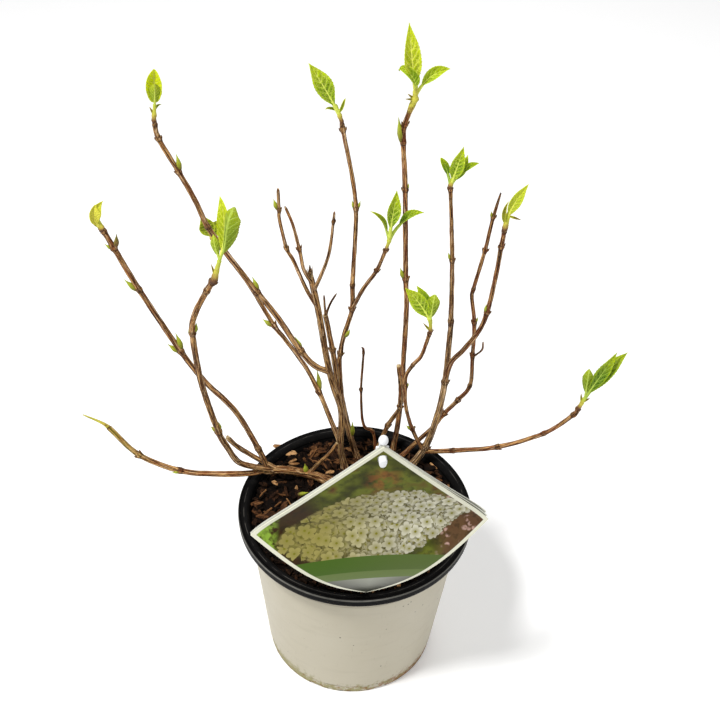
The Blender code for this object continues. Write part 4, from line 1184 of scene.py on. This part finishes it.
def barkPaint():
    paint = Paint("bark", IOR=1.45, Specular_IOR_Level=0.1)
    around = paint.node("ShaderNodeAttribute", {"attribute_name": "barkPlace"}, output="Vector")
    ring, scar, bare, share = paint.mark("barkMarks")
    red, grey, pale, fresh = paint.mark("barkTone")
    fibre = paint.cloud(paint.scaled(around, (1, 1, 0.06)), 0.8, 5, 0.65)
    streak = paint.cloud(paint.scaled(around, (1, 1, 0.022)), 0.5, 3, 0.6)
    patch = paint.cloud(around, 6, 4, 0.6)
    brown = paint.mix(red, rgb(138, 93, 51), rgb(142, 74, 44))
    tint = paint.mix(grey * paint.fade(share, 1.1, 0.1) * 0.7, brown, rgb(134, 122, 100))
    tint = paint.mix(paint.fade(fibre, 0.46, 0.56) * (0.5 + 0.5 * pale), tint, rgb(236, 188, 120))
    tint = paint.mix(paint.fade(streak, 0.55, 0.46) * 0.95, tint, rgb(44, 19, 4))
    tint = paint.mix(paint.fade(patch, 0.54, 0.68) * 0.3, tint, rgb(84, 48, 24))
    peel = paint.fade(paint.cloud(paint.scaled(around, (1, 1, 0.05)), 0.8, 5, 0.7), 0.55, 0.6)
    tint = paint.mix(peel * (0.3 + 0.4 * grey + 0.4 * pale), tint, rgb(250, 212, 166))
    spots = paint.fade(paint.cells(paint.scaled(around, (1, 1, 0.5)), 1.3), 0.24, 0.12)
    tint = paint.mix(spots * paint.fade(patch, 0.42, 0.55) * 0.7, tint, rgb(50, 26, 14))
    shoot = paint.mix(paint.fade(streak, 0.42, 0.58), rgb(176, 172, 52), rgb(206, 200, 84))
    shoot = paint.mix(paint.fade(patch, 0.5, 0.62) * 0.5, shoot, rgb(160, 104, 46))
    tint = paint.mix(fresh, tint, shoot)
    tint = paint.mix(ring * 0.85, tint, rgb(44, 24, 13))
    tint = paint.mix(scar * 0.7, tint, rgb(74, 42, 22))
    wood = paint.mix(paint.fade(fibre, 0.4, 0.6), rgb(228, 206, 160), rgb(170, 138, 92))
    tint = paint.mix(bare, tint, wood)
    height = fibre + 0.6 * streak + 0.8 * peel - 0.8 * spots
    paint.feed(Base_Color=tint, Roughness=0.4 + 0.3 * fibre, Normal=paint.bump(height, 0.25, 0.9))
    return paint


def addBud(heap, root, direction, length, width, tone, bendTo=None):
    # a pointed bud in overlapping scales
    rows = 13
    sides = 10
    across = direction.orthogonal().normalized()
    up = direction.cross(across)
    lean = bendTo - direction * bendTo.dot(direction) if bendTo else Vector((0, 0, 0))
    points = []
    marks = []
    for row in range(rows):
        share = row / (rows - 1)
        plump = 0.5 * width * (0.5 + 0.5 * math.sin(math.pi * min(1, share * 1.25))) * (1 - share ** 3) + 0.05
        scale = 1 + 0.1 * (share * 4 % 1)
        centre = root + direction * length * share + lean * length * 0.3 * share * share
        for side in range(sides):
            angle = math.tau * side / sides + 0.3 * share
            reach = plump * scale * (1 + 0.12 * math.cos(2 * angle))
            points.append(centre + (across * math.cos(angle) + up * math.sin(angle)) * reach)
            marks.append((share, tone, 0.5 + 0.5 * math.cos(2 * angle), 0.0))
    faces = gridFaces(rows, sides, wrap=True)
    faces.append(list(range(sides))[::-1])
    faces.append(list(range((rows - 1) * sides, rows * sides)))
    heap.add(points, faces, budMarks=marks)


def budPaint():
    # tone 0 is a brown scale, 1 a green bud with a brown foot
    paint = Paint("budScales", IOR=1.42, Specular_IOR_Level=0.3)
    share, tone, seam, _ = paint.mark("budMarks")
    speck = paint.cloud(paint.where(), 1.1, 4)
    green = paint.mix(paint.fade(share, 0.1, 0.8), rgb(132, 132, 34), rgb(168, 182, 52))
    green = paint.mix(paint.fade(speck, 0.5, 0.66) * 0.5, green, rgb(120, 86, 44))
    brown = paint.mix(paint.fade(speck, 0.4, 0.6), rgb(74, 46, 30), rgb(124, 86, 54))
    tint = paint.mix(paint.fade(tone, 0.3, 0.7), brown, green)
    tint = paint.mix(paint.fade(share, 0.3, 0.0) * 0.85, tint, rgb(84, 54, 34))
    tint = paint.mix(paint.fade(seam, 0.8, 1.0) * 0.35, tint, rgb(206, 206, 110))
    paint.feed(Base_Color=tint, Roughness=0.45 + 0.2 * speck, Normal=paint.bump(speck, 0.1, 0.5))
    return paint


def limbRings(spec, spots):
    # a limb's points, with a foot sunk in the mix and a cut end doubled so that it is flat
    rings = list(spots)
    if "foot" in spec:
        start = spots[0][0]
        down = (start - spots[1][0]).normalized()
        rings = [(start + down * deep, -deep) for deep in (bark["sunkFoot"], 0.5 * bark["sunkFoot"])] + rings
    if spec.get("end") == "cut":
        tip, whole = spots[-1]
        rings = rings[:-1] + [(tip, whole - 0.01), (tip, whole)]
    return rings


def addTwigs(heap, spec, start, draw):
    # thin dead twigs that spring from the ends of a limb's runs
    for runNumber, girth, runs in spec.get("twigs", ()):
        root, direction = joint(spec, start, runNumber)
        twig = dict(girth=girth, tone=spec["tone"], end="dead", green=spec.get("twigGreen", (0.0, 0.0)))
        spots = curveThrough(root - direction, runs, bark["ringStep"])
        sweep(heap, spots, bark["twigSides"], barkShape(twig, spots[-1][1], 3.7 * runNumber, [], draw))


def addSplinters(heap, spec, spots, draw):
    # thin spikes of bare wood round the end of a torn limb
    count, length, girth = spec.get("splinters", (0, 0, 0))
    tip, direction = along(spots, math.inf)
    across = direction.orthogonal().normalized()
    up = direction.cross(across)
    for number in range(count):
        angle = math.tau * (number + draw.uniform(-0.3, 0.3)) / count
        outward = across * math.cos(angle) + up * math.sin(angle)
        root = tip - direction * 3.5 + outward * 0.3 * spec["girth"][1]
        reach = length * draw.uniform(0.5, 1.1) + 2.5
        aim = (direction + outward * draw.uniform(-0.05, 0.3)).normalized()
        spike = [(root + aim * reach * step / 6, reach * step / 6) for step in range(7)]

        def shape(at, turn):
            radius = 0.5 * girth * max(0.08, 1 - at / reach)
            place = (math.cos(turn) * radius, math.sin(turn) * radius, at + angle, 0.0)
            return radius, (place, (0.0, 0.0, 0.6, 0.0), (*spec["tone"], 0.0))

        sweep(heap, spike, 6, shape)


def addGreenBuds(heap, spec, start):
    # a limb's green buds; gives the root of each and the way it looks
    looks = []
    for runNumber, heading, length, *more in spec.get("buds", ()):
        leanOut = more[0] if more else 0.45
        tone = more[1] if len(more) > 1 else 1.0
        root, direction = joint(spec, start, runNumber)
        outward = way(90, heading)
        outward = (outward - direction * outward.dot(direction)).normalized()
        lean = (outward * leanOut + direction).normalized()
        width = max(1.8, 0.4 * length) if length < 9 else 2.2 + 0.1 * length
        addBud(heap, root + outward * 0.9, lean, length + 1.0, width, tone, direction)
        looks.append((root, outward))
    return looks


def addScales(heap, nodes, greens, shape, draw):
    # a pair of small brown scales at each node, but for the side that has a green bud
    for at, facing, centre, forward, across, up in nodes:
        for half in (0, math.pi):
            outward = across * math.cos(facing + half) + up * math.sin(facing + half)
            if any((centre - root).length < 6 and outward.dot(green) > 0.3 for root, green in greens):
                continue
            radius, _ = shape(at, facing + half)
            root = centre + outward * (radius - 0.8)
            lean = (outward * 0.62 + forward * 0.78).normalized()
            addBud(heap, root, lean, draw.uniform(1.9, 3.2), draw.uniform(1.1, 1.7), 0.0, forward)


def growLimbs():
    # every limb, and the buds and scales at its nodes; gives each limb's points
    paths = {}
    paint = barkPaint()
    greenBuds = Heap("budMarks")
    scales = Heap("budMarks")
    for number, (name, spec) in enumerate(limbs.items()):
        draw = random.Random(bark["seed"] + number)
        if "foot" in spec:
            start = Vector((*spec["foot"], bark["footLevel"]))
        else:
            parent, distance = spec["parent"]
            start = along(paths[parent], distance)[0]
        spots = curveThrough(start, spec["runs"], bark["ringStep"])
        paths[name] = spots
        nodes = findNodes(spec, spots, draw)
        shape = barkShape(spec, spots[-1][1], 10.0 * number, [node[:2] for node in nodes], draw)
        heap = Heap(*bark["marks"])
        sweep(heap, limbRings(spec, spots), bark["sides"], shape)
        addTwigs(heap, spec, start, draw)
        addSplinters(heap, spec, spots, draw)
        addScales(scales, nodes, addGreenBuds(greenBuds, spec, start), shape, draw)
        finishPiece(heap.piece(f"bark_{name}"), paint, [name], smooth=60)
    for root, lean, heading, length, width in sprouts:
        addBud(greenBuds, Vector(root), way(lean, heading), length, width, 1.0)
    budsPaint = budPaint()
    finishPiece(greenBuds.piece("buds_green"), budsPaint, smooth=60)
    finishPiece(scales.piece("buds_brown"), budsPaint, smooth=60)
    print("limbs done:", len(paths))
    return paths


# Tufts, one on each limb's tip. Stout is the stem's thickness beside its limb's, and a fresh stem is green
# from its foot. A leaf has the distance of its root along the stem, a length and a width, a lean and a
# heading, the heading that its upper face looks to, its look, its tone from 0 for yellow to 1 for dark green,
# and maybe changes to its look.

tufts = {
    "tuft_far_left": dict(
        limb="cane_far_left", stem=(6, 12, 180), stout=1.0,
        leaves=(
            (3, 19, 7, 11, 32, 285, "open", 0.0, dict(sway=46, wide=0.45, pale=0.5)),
            (2, 18, 8, 6, 194, 305, "open", 0.0, dict(sway=44, wide=0.58, pale=0.8)),
            (1, 8, 2, 53, 179, 290, "scale", 0.4),
        ),
    ),
    "tuft_near_left": dict(
        limb="cane_near_left", stem=(17, 16, 335), stout=1.3,
        leaves=(
            (18, 37, 8.2, 24, 91, 265, "open", 0.08, dict(sway=-18, point=0.8)),
            (18, 38, 13, 6, 330, 60, "under", 0.7, dict(sway=20, fold=26, hook=-150, wide=0.6, point=0.5)),
            (18, 15, 6.5, 16, 146, 105, "under", 0.5, dict(hook=-60)),
            (4, 8, 2, 21, 139, 280, "scale", 0.4),
        ),
    ),
    "tuft_top_left": dict(
        limb="cane_top_left", stem=(12, 7, 0), stout=1.05,
        leaves=(
            (13, 23, 12, 10, 79, 280, "cupped", -0.1,
             dict(point=0.38, hook=-30, curl=-10, cup=24, quilt=0.15)),
            (13, 17, 11.5, 14, 300, 95, "cupped", 0.45, dict(wide=0.4, hook=0, curl=-30, point=0.7)),
            (5, 6, 2, 30, 156, 280, "scale", 0.4),
            (5, 9, 1.8, 40, 34, 280, "narrow", 0.8, dict(sway=40, dry=0.2)),
        ),
    ),
    "tuft_back_left": dict(
        limb="cane_back_left", stem=(5, 25, 160), stout=1.05,
        leaves=(
            (2, 19, 15, 22, 168, 280, "cupped", 0.15, dict(point=0.6, quilt=1.4)),
            (1, 15, 12, 16, 42, 275, "cupped", 0.2, dict(point=0.6, quilt=1.4)),
        ),
    ),
    "tuft_centre": dict(
        limb="cane_centre", stem=(12, 19, 180), stout=1.1,
        leaves=(
            (6, 39, 11.8, 28, 191, 285, "quilted", 0.3),
            (5, 11, 2.6, 67, 174, 190, "narrow", 0.3, dict(sway=-50, pale=0.2)),
            (5, 12, 2.8, 21, 24, 305, "narrow", 0.4, dict(sway=40, pale=0.2)),
        ),
    ),
    "tuft_middle": dict(
        limb="bough_centre", stem=(11, 19, 300), stout=1.05,
        leaves=(
            (9, 34, 8.8, 7, 42, 285, "quilted", 0.45, dict(stalk=0.24)),
            (9, 28, 6.2, 45, 13, 220, "stalked", 0.65, dict(stalk=0.4, sway=20)),
            (9, 22, 3.8, 28, 166, 320, "narrow", 0.75, dict(sway=-16, stalk=0.25)),
        ),
    ),
    "tuft_tallest": dict(
        limb="cane_tallest", stem=(10, 8, 280), stout=1.38, fresh=1.0,
        leaves=(
            (6, 44, 11.2, 8, 178, 280, "quilted", 0.08,
             dict(wide=0.44, stalk=0.14, sway=2, veins=7, quilt=0.8)),
            (2, 28, 8, 47, 11, 255, "stalked", 0.25, dict(sway=24, rib=2)),
            (7, 19, 7.5, 32, 197, 290, "hooked", 0.4, dict(sway=-20)),
            (1, 6, 1.8, 80, 200, 270, "scale", 0.4),
            (1, 6, 2, 48, 195, 265, "scale", 0.4),
        ),
    ),
    "tuft_near_right": dict(
        limb="bough_near_right", stem=(11, 8, 230), stout=1.15,
        leaves=(
            (9, 29, 10.8, 38, 165, 275, "quilted", 0.34, dict(stalk=0.1, wide=0.52, veins=7, sway=-10)),
            (11, 24, 7.5, 38, 132, 270, "open", 0.75, dict(stalk=0.1, sway=-16)),
            (10, 19, 9.6, 9, 61, 80, "under", 0.55, dict(point=0.45, fold=14, hook=-120)),
            (1, 7, 2, 51, 155, 275, "scale", 0.4),
        ),
    ),
    "tuft_right": dict(
        limb="cane_right", stem=(8, 10, 0), stout=1.05,
        leaves=(
            (3, 27, 9, 12, 4, 265, "quilted", 0.35, dict(stalk=0.12, wide=0.45)),
            (3, 21, 6.5, 31, 31, 265, "open", 0.5, dict(stalk=0.12, sway=-10)),
            (1, 20, 5.2, 26, 153, 290, "stalked", 0.85, dict(stalk=0.42, point=0.5, hook=-20, sway=-14)),
            (2, 23, 5, 45, 7, 235, "stalked", 0.75, dict(stalk=0.42, sway=14)),
        ),
    ),
    "tuft_far_right": dict(
        limb="bough_right", stem=(10, 8, 313), stout=1.45,
        leaves=(
            (9, 26, 7.4, 23, 8, 270, "open", 0.2, dict(stalk=0.08, wide=0.46, sway=12, pale=0.25)),
            (4, 16, 3.6, 1, 186, 260, "narrow", 0.4, dict(dry=0.4, sway=20, stalk=0.0, pale=0.4)),
            (6, 9, 4, 14, 34, 260, "narrow", 0.2, dict(dry=0.2, stalk=0.0, pale=0.8)),
            (11, 8, 2, 99, 346, 275, "scale", 0.4),
        ),
    ),
    "tuft_low_right": dict(
        limb="bough_low_right", stem=(9, 17, 0), stout=1.1,
        leaves=(
            (10, 41, 9, 26, 20, 270, "quilted", 0.78, dict(stalk=0.08, wide=0.5, veins=7)),
            (10, 43, 11.5, 40, 25, 235, "quilted", 0.72, dict(stalk=0.08, wide=0.5, veins=7)),
            (10, 22, 9.5, 9, 88, 80, "under", 0.68, dict(stalk=0.2, point=0.4, hook=-120)),
            (5, 7, 2, 33, 102, 260, "scale", 0.4),
            (6, 6, 2, 58, 11, 240, "scale", 0.4),
        ),
    ),
}

leafMesh = dict(rows=73, columns=17, teeth=19, tooth=0.08, thickness=0.3, stemSides=14, ribSides=8)

# A look has these angles in degrees: the fold at the midrib, the cup towards the edges, the curl from root to
# tip, the hook of the tip, the twist and the sway to one side. It also has the stalk's share of the length,
# the share where the blade is widest, how pointed and how quilted it is, how thick its rib is, how dry it is,
# its number of veins and how pale it is. The plain values hold where a look doesn't say otherwise.
leafPlain = dict(twist=0, sway=0, wide=0.5, point=1.0, quilt=0.8, dry=0.0, veins=8, pale=0.0)
leafLooks = dict(
    open=dict(fold=18, cup=14, curl=18, hook=10, twist=6, stalk=0.14, quilt=0.7, rib=2.0),
    quilted=dict(fold=12, cup=12, curl=16, hook=6, twist=-8, stalk=0.18, wide=0.52, quilt=1.2, rib=2.3),
    cupped=dict(fold=14, cup=34, curl=-24, hook=-40, stalk=0.06, wide=0.52, point=0.7, rib=1.4),
    under=dict(fold=20, cup=26, curl=-20, hook=-110, stalk=0.14, wide=0.55, point=0.7, rib=1.3),
    hooked=dict(fold=30, cup=24, curl=50, hook=110, twist=20, stalk=0.16, wide=0.45, point=0.8, rib=1.8),
    stalked=dict(fold=26, cup=20, curl=34, hook=20, twist=10, stalk=0.3, point=0.9, rib=2.1),
    narrow=dict(fold=30, cup=30, curl=30, hook=40, twist=30, stalk=0.2, quilt=0.3, rib=1.6, dry=0.2),
    scale=dict(fold=24, cup=34, curl=30, hook=10, stalk=0.0, wide=0.4, quilt=0.0, rib=1.0, dry=0.8),
)


def leafHalfWidth(share, look):
    # rounded at the stalk, then a drawn-out tip
    blade = (share - look["stalk"]) / (1 - look["stalk"])
    if blade <= 0 or blade >= 1:
        return 0.0
    swell = math.sin(math.pi * blade ** (math.log(0.5) / math.log(look["wide"])))
    return 0.5 * swell ** look["point"] * (1 - 0.3 * blade ** 5)


def addLeaf(blades, ribs, root, leafSpec, draw):
    _, length, width, lean, heading, facing, lookName, tone, *changes = leafSpec
    look = {**leafPlain, **leafLooks[lookName]}
    for change in changes:
        look.update(change)
    small = min(1.0, length / 25)
    direction = way(lean, heading)
    face = way(60, facing)
    face = (face - direction * face.dot(direction)).normalized()
    side = direction.cross(face)
    fold, cup, curl, hook, twist = [math.radians(look[part] * draw.uniform(0.9, 1.1))
                                    for part in ("fold", "cup", "curl", "hook", "twist")]
    sway = math.radians(look["sway"] + draw.uniform(-5, 5))
    spread = min(1.3, 1 / math.cos(fold + 0.4 * cup))
    length *= 1 + 0.1 * abs(hook)
    wave = draw.uniform(0, 6)
    veins = look["veins"] * (0.55 + 0.45 * small)
    rows, columns = leafMesh["rows"], leafMesh["columns"]
    points = []
    marks = []
    spine = []
    centre = root.copy()
    for row in range(rows):
        share = row / (rows - 1)
        # tilts that even out, so that the tip lands where the leaf points, but for the hook
        tilt = curl * (share - 0.5) + hook * max(0.0, (share - 0.5) / 0.5) ** 1.3
        veer = 2 * sway * (share - 0.5)
        forward = direction * math.cos(tilt) - face * math.sin(tilt)
        forward = forward * math.cos(veer) + side * math.sin(veer)
        if row:
            centre = centre + forward * length / (rows - 1)
        turn = twist * (share - 0.4)
        above = direction * math.sin(tilt) + face * math.cos(tilt)
        above = (above - forward * above.dot(forward)).normalized()
        beside = forward.cross(above)
        spin = Matrix.Rotation(-turn, 3, forward)
        above = spin @ above
        beside = spin @ beside
        half = width * leafHalfWidth(share, look) * spread
        saw = (share * leafMesh["teeth"]) % 1
        half *= 1 + leafMesh["tooth"] * small * (saw - 0.5)
        half = max(half, 0.32 * look["rib"] * (1 - share) + 0.05)
        for column in range(columns):
            across = 2 * column / (columns - 1) - 1
            out = abs(across) * half
            bendIn = fold + cup * abs(across)
            phase = 1.15 * share * veins - 1.7 * abs(across) ** 1.2
            body = min(1.0, 4 * abs(across)) * min(1.0, 3 * (1 - abs(across)))
            vein = abs(math.sin(math.pi * phase))
            puff = 0.5 * look["quilt"] * small * (vein ** 0.6 - 0.6) * body * width / 12
            groove = 0.25 * small * max(0.0, 1 - abs(across) * 6)
            ripple = 0.1 * half * math.sin(11 * share + wave + 2 * across) * across * across
            lift = out * math.sin(bendIn) + puff - groove + ripple
            points.append(centre + beside * math.copysign(out * math.cos(bendIn), across) + above * lift)
            marks.append((phase if look["quilt"] else 0.5, abs(across), share, tone))
        if share < 0.9:
            spine.append((centre - above * 0.25, length * share))
    tints = [(look["quilt"], look["dry"], look["pale"], 0.0)] * len(points)
    blades.add(points, gridFaces(rows, columns), leafMarks=marks, leafTints=tints)

    def shape(at, _):
        share = at / length
        beyond = max(0.0, share - look["stalk"]) / (1 - look["stalk"])
        radius = 0.5 * look["rib"] * (1 - 0.3 * share) * (1 - 0.95 * beyond) ** 1.8 + 0.08
        return radius, ((0.0, 0.5, 0.6 * share, tone), (0.5, look["dry"], look["pale"], 0.0))

    sweep(ribs, spine[::2], leafMesh["ribSides"], shape)


def leafPaint(name, under):
    # tone 0 is yellow, 0.5 fresh green and 1 dark green
    # the leaves glow faintly of themselves: painted light
    paint = Paint(name, IOR=1.42, Specular_IOR_Level=0.12, Emission_Strength=0.13)
    phase, edge, share, tone = paint.mark("leafMarks")
    quilt, dry, pale, _ = paint.mark("leafTints")
    place = paint.where()
    mottle = paint.cloud(place, 3.0, 4, 0.65)
    fine = paint.cloud(place, 0.5, 3, 0.6)
    net = paint.fade(paint.cells(place, 1.5, feature="DISTANCE_TO_EDGE"), 0.16, 0.02)
    wavy = (phase * math.pi + 0.4 * (mottle - 0.5)).sine().size()
    vein = paint.fade(wavy, 0.36, 0.1).larger(paint.fade(edge, 0.11, 0.04))
    tint = paint.ramp(tone, (0.0, rgb(224, 234, 18)), (0.3, rgb(174, 212, 14)), (0.6, rgb(108, 162, 8)),
                      (1.0, rgb(64, 110, 18)))
    light = paint.ramp(tone, (0.0, rgb(250, 250, 120)), (0.3, rgb(232, 242, 108)), (1.0, rgb(150, 186, 76)))
    deep = paint.mix(0.75, tint, rgb(40, 76, 2))
    # darker green in the hollows between the veins and in small pits: painted shade, deepening the leaf's own
    # darker green there
    pitShade = paint.fade(paint.cells(place, 1.9), 0.55, 0.15)
    hollowShade = paint.fade(wavy, 0.5, 0.9) * paint.fade(edge, 0.95, 0.6)
    tint = paint.mix(paint.fade(mottle, 0.54, 0.36) * 0.4, tint, deep)
    tint = paint.mix(hollowShade * quilt * 0.9 * paint.fade(mottle, 0.3, 0.54), tint, deep)
    tint = paint.mix(pitShade * quilt * 0.32 * paint.fade(edge, 1.0, 0.7), tint, deep)
    tint = paint.mix(paint.fade(edge, 0.65, 1.0) * 0.45, tint, rgb(206, 222, 24))
    tint = paint.mix(paint.fade(share, 0.5, 0.98) * 0.65, tint, rgb(216, 230, 10))
    tint = paint.mix(paint.fade(share, 0.3, 0.0) * 0.7, tint, rgb(190, 194, 72))
    if under:
        tint = paint.mix(0.4, tint, rgb(164, 172, 36))
        tint = paint.mix(paint.fade(edge, 0.75, 1.0) * 0.5, tint, rgb(120, 96, 34))
    tint = paint.mix(net * (0.08 + 0.3 * quilt), tint, light)
    tint = paint.mix(vein * 0.85, tint, light)
    tint = paint.mix(pale * 0.8, tint, rgb(236, 224, 92))
    crisp = dry * paint.fade(share + 0.5 * (mottle - 0.5), 0.25, 0.7)
    tint = paint.mix(dry * 0.7, tint, rgb(172, 148, 72))
    tint = paint.mix(crisp * 0.85, tint, rgb(110, 72, 42))
    height = 0.6 * mottle + 0.3 * fine - 0.7 * net * quilt - 0.8 * vein
    # the leaves glow a little of themselves, painted light that brightens them
    paint.feed(
        Base_Color=tint, Emission_Color=tint, Roughness=0.42 + 0.2 * fine,
        Normal=paint.bump(height, 0.7, 1.0),
    )
    return paint


def shootPaint():
    # brown where it leaves the limb, then pale yellow green
    paint = Paint("shoot", IOR=1.42, Specular_IOR_Level=0.3)
    share, fresh, _, _ = paint.mark("leafMarks")
    place = paint.where()
    speck = paint.cloud(paint.where((1, 1, 0.3)), 0.9, 4)
    onward = share.larger(fresh * 0.5) + 0.3 * (speck - 0.5)
    tint = paint.ramp(onward, (0.0, rgb(78, 48, 32)), (0.16, rgb(126, 88, 52)), (0.3, rgb(184, 160, 70)),
                      (0.5, rgb(206, 200, 76)), (1.0, rgb(190, 204, 72)))
    blush = paint.fade(paint.cloud(place, 2.4, 3), 0.54, 0.68)
    tint = paint.mix(blush * 0.4, tint, rgb(142, 100, 62))
    paint.feed(Base_Color=tint, Roughness=0.45 + 0.2 * speck, Normal=paint.bump(speck, 0.15, 0.6))
    return paint


def stemPoints(spec, tip, direction):
    # the stem carries its limb on by a short straight piece, then leans as told
    length, lean, heading = spec["stem"]
    start = tip + direction * 0.3
    spots = [(start - direction * 1.6, -1.6), (start, 0.0), (start + direction * 1.5, 1.5)]
    onward = way(lean, heading)
    for step in range(1, 13):
        spots.append((start + direction * 1.5 + onward * length * step / 12, 1.5 + length * step / 12))
    return spots


def stemShape(spec):
    radius = 0.5 * limbs[spec["limb"]]["girth"][1]
    fresh = spec.get("fresh", 0.0)
    whole = 1.5 + spec["stem"][0]

    def shape(at, angle):
        share = max(0.0, at) / whole
        girth = 0.9 * spec["stout"] * radius * (1 - share) + 1.0 * share
        girth *= 1 + 0.16 * (1 - fresh) * hump(at - 1.5, 1.0) + 0.05 * math.sin(3 * angle + at)
        for leafSpec in spec["leaves"]:
            girth *= 1 + 0.14 * hump(at - leafSpec[0], 1.3)
        girth *= 0.5 if share >= 1 else 1.0
        return girth, ((share, fresh, 0.0, 0.0),)

    return shape


def growTufts(paths):
    upperPaint = leafPaint("leafUpper", False)
    underPaint = leafPaint("leafUnder", True)
    stemPaint = shootPaint()
    for number, (name, spec) in enumerate(tufts.items()):
        draw = random.Random(number)
        spots = stemPoints(spec, *along(paths[spec["limb"]], math.inf))
        blades = Heap("leafMarks", "leafTints")
        ribs = Heap("leafMarks", "leafTints")
        for leafSpec in spec["leaves"]:
            root = along(spots[1:], leafSpec[0])[0]
            addLeaf(blades, ribs, root, leafSpec, draw)
        leaves = blades.piece(f"leaves_{name}")
        leaves.data.materials.append(upperPaint.material)
        leaves.data.materials.append(underPaint.material)
        applyModifier(leaves, "SOLIDIFY", thickness=leafMesh["thickness"] * mm, offset=0.0, material_offset=1)
        stalks = ribs.piece("stalks")
        stalks.data.materials.append(underPaint.material)
        tube = Heap("leafMarks")
        sweep(tube, spots, leafMesh["stemSides"], stemShape(spec))
        stem = tube.piece("stem")
        stem.data.materials.append(stemPaint.material)
        makeActive(leaves)
        stem.select_set(True)
        stalks.select_set(True)
        bpy.ops.object.join()
        finishPiece(leaves, None, [name], smooth=70)
    print("tufts done:", len(tufts))


# The studio: a pale floor, soft lights and the photo's view from above the front.

studio = dict(
    camera=(0, -0.583, 0.777), lookDown=40.9, roll=2.4, yaw=0.1, lens=61,
    lights=(
        # name, place in metres, size in metres, watts
        ("lightKey", (-0.7, -0.6, 1.9), 0.35, 34), ("lightFill", (1.1, -0.7, 1.3), 1.0, 3.5),
        ("lightBack", (0.3, 1.0, 1.6), 1.0, 8),
    ),
    sky=0.27,
)


def makeStudio():
    deselectAll()
    bpy.ops.mesh.primitive_plane_add(size=6)
    floor = newPiece("studio_floor")
    paint = Paint("floorPale", Roughness=0.9, Emission_Color=(1, 1, 1, 1), Emission_Strength=0.22)
    paint.feed(Base_Color=paint.mix(paint.cloud(paint.where(), 300), rgb(250, 250, 250), rgb(247, 247, 247)))
    floor.data.materials.append(paint.material)
    scene = bpy.context.scene
    for name, place, size, watts in studio["lights"]:
        lamp = bpy.data.lights.new(name, "AREA")
        lamp.shape = "DISK"
        lamp.size = size
        lamp.energy = watts
        lightObject = bpy.data.objects.new(name, lamp)
        lightObject.location = place
        lightObject.rotation_euler = (Vector((0, 0, 0.2)) - Vector(place)).to_track_quat("-Z", "Y").to_euler()
        scene.collection.objects.link(lightObject)
    sky = bpy.data.worlds.new("studioSky")
    sky.use_nodes = True
    background = sky.node_tree.nodes["Background"]
    background.inputs["Color"].default_value = (1, 1, 1, 1)
    background.inputs["Strength"].default_value = studio["sky"]
    scene.world = sky
    camera = bpy.data.cameras.new("photoCamera")
    camera.lens = studio["lens"]
    camera.sensor_width = 36
    cameraObject = bpy.data.objects.new("photoCamera", camera)
    turn = Matrix.Rotation(math.radians(studio["yaw"]), 4, "Z")
    turn = turn @ Matrix.Rotation(math.radians(90 - studio["lookDown"]), 4, "X")
    turn = turn @ Matrix.Rotation(math.radians(studio["roll"]), 4, "Z")
    cameraObject.matrix_world = Matrix.Translation(studio["camera"]) @ turn
    scene.collection.objects.link(cameraObject)
    scene.camera = cameraObject
    scene.view_settings.view_transform = "Standard"
    print("studio done")


makeStudio()
makePotWall()
makePotLip()
makeBarkMix()
makeTag()
growTufts(growLimbs())

deselectAll()
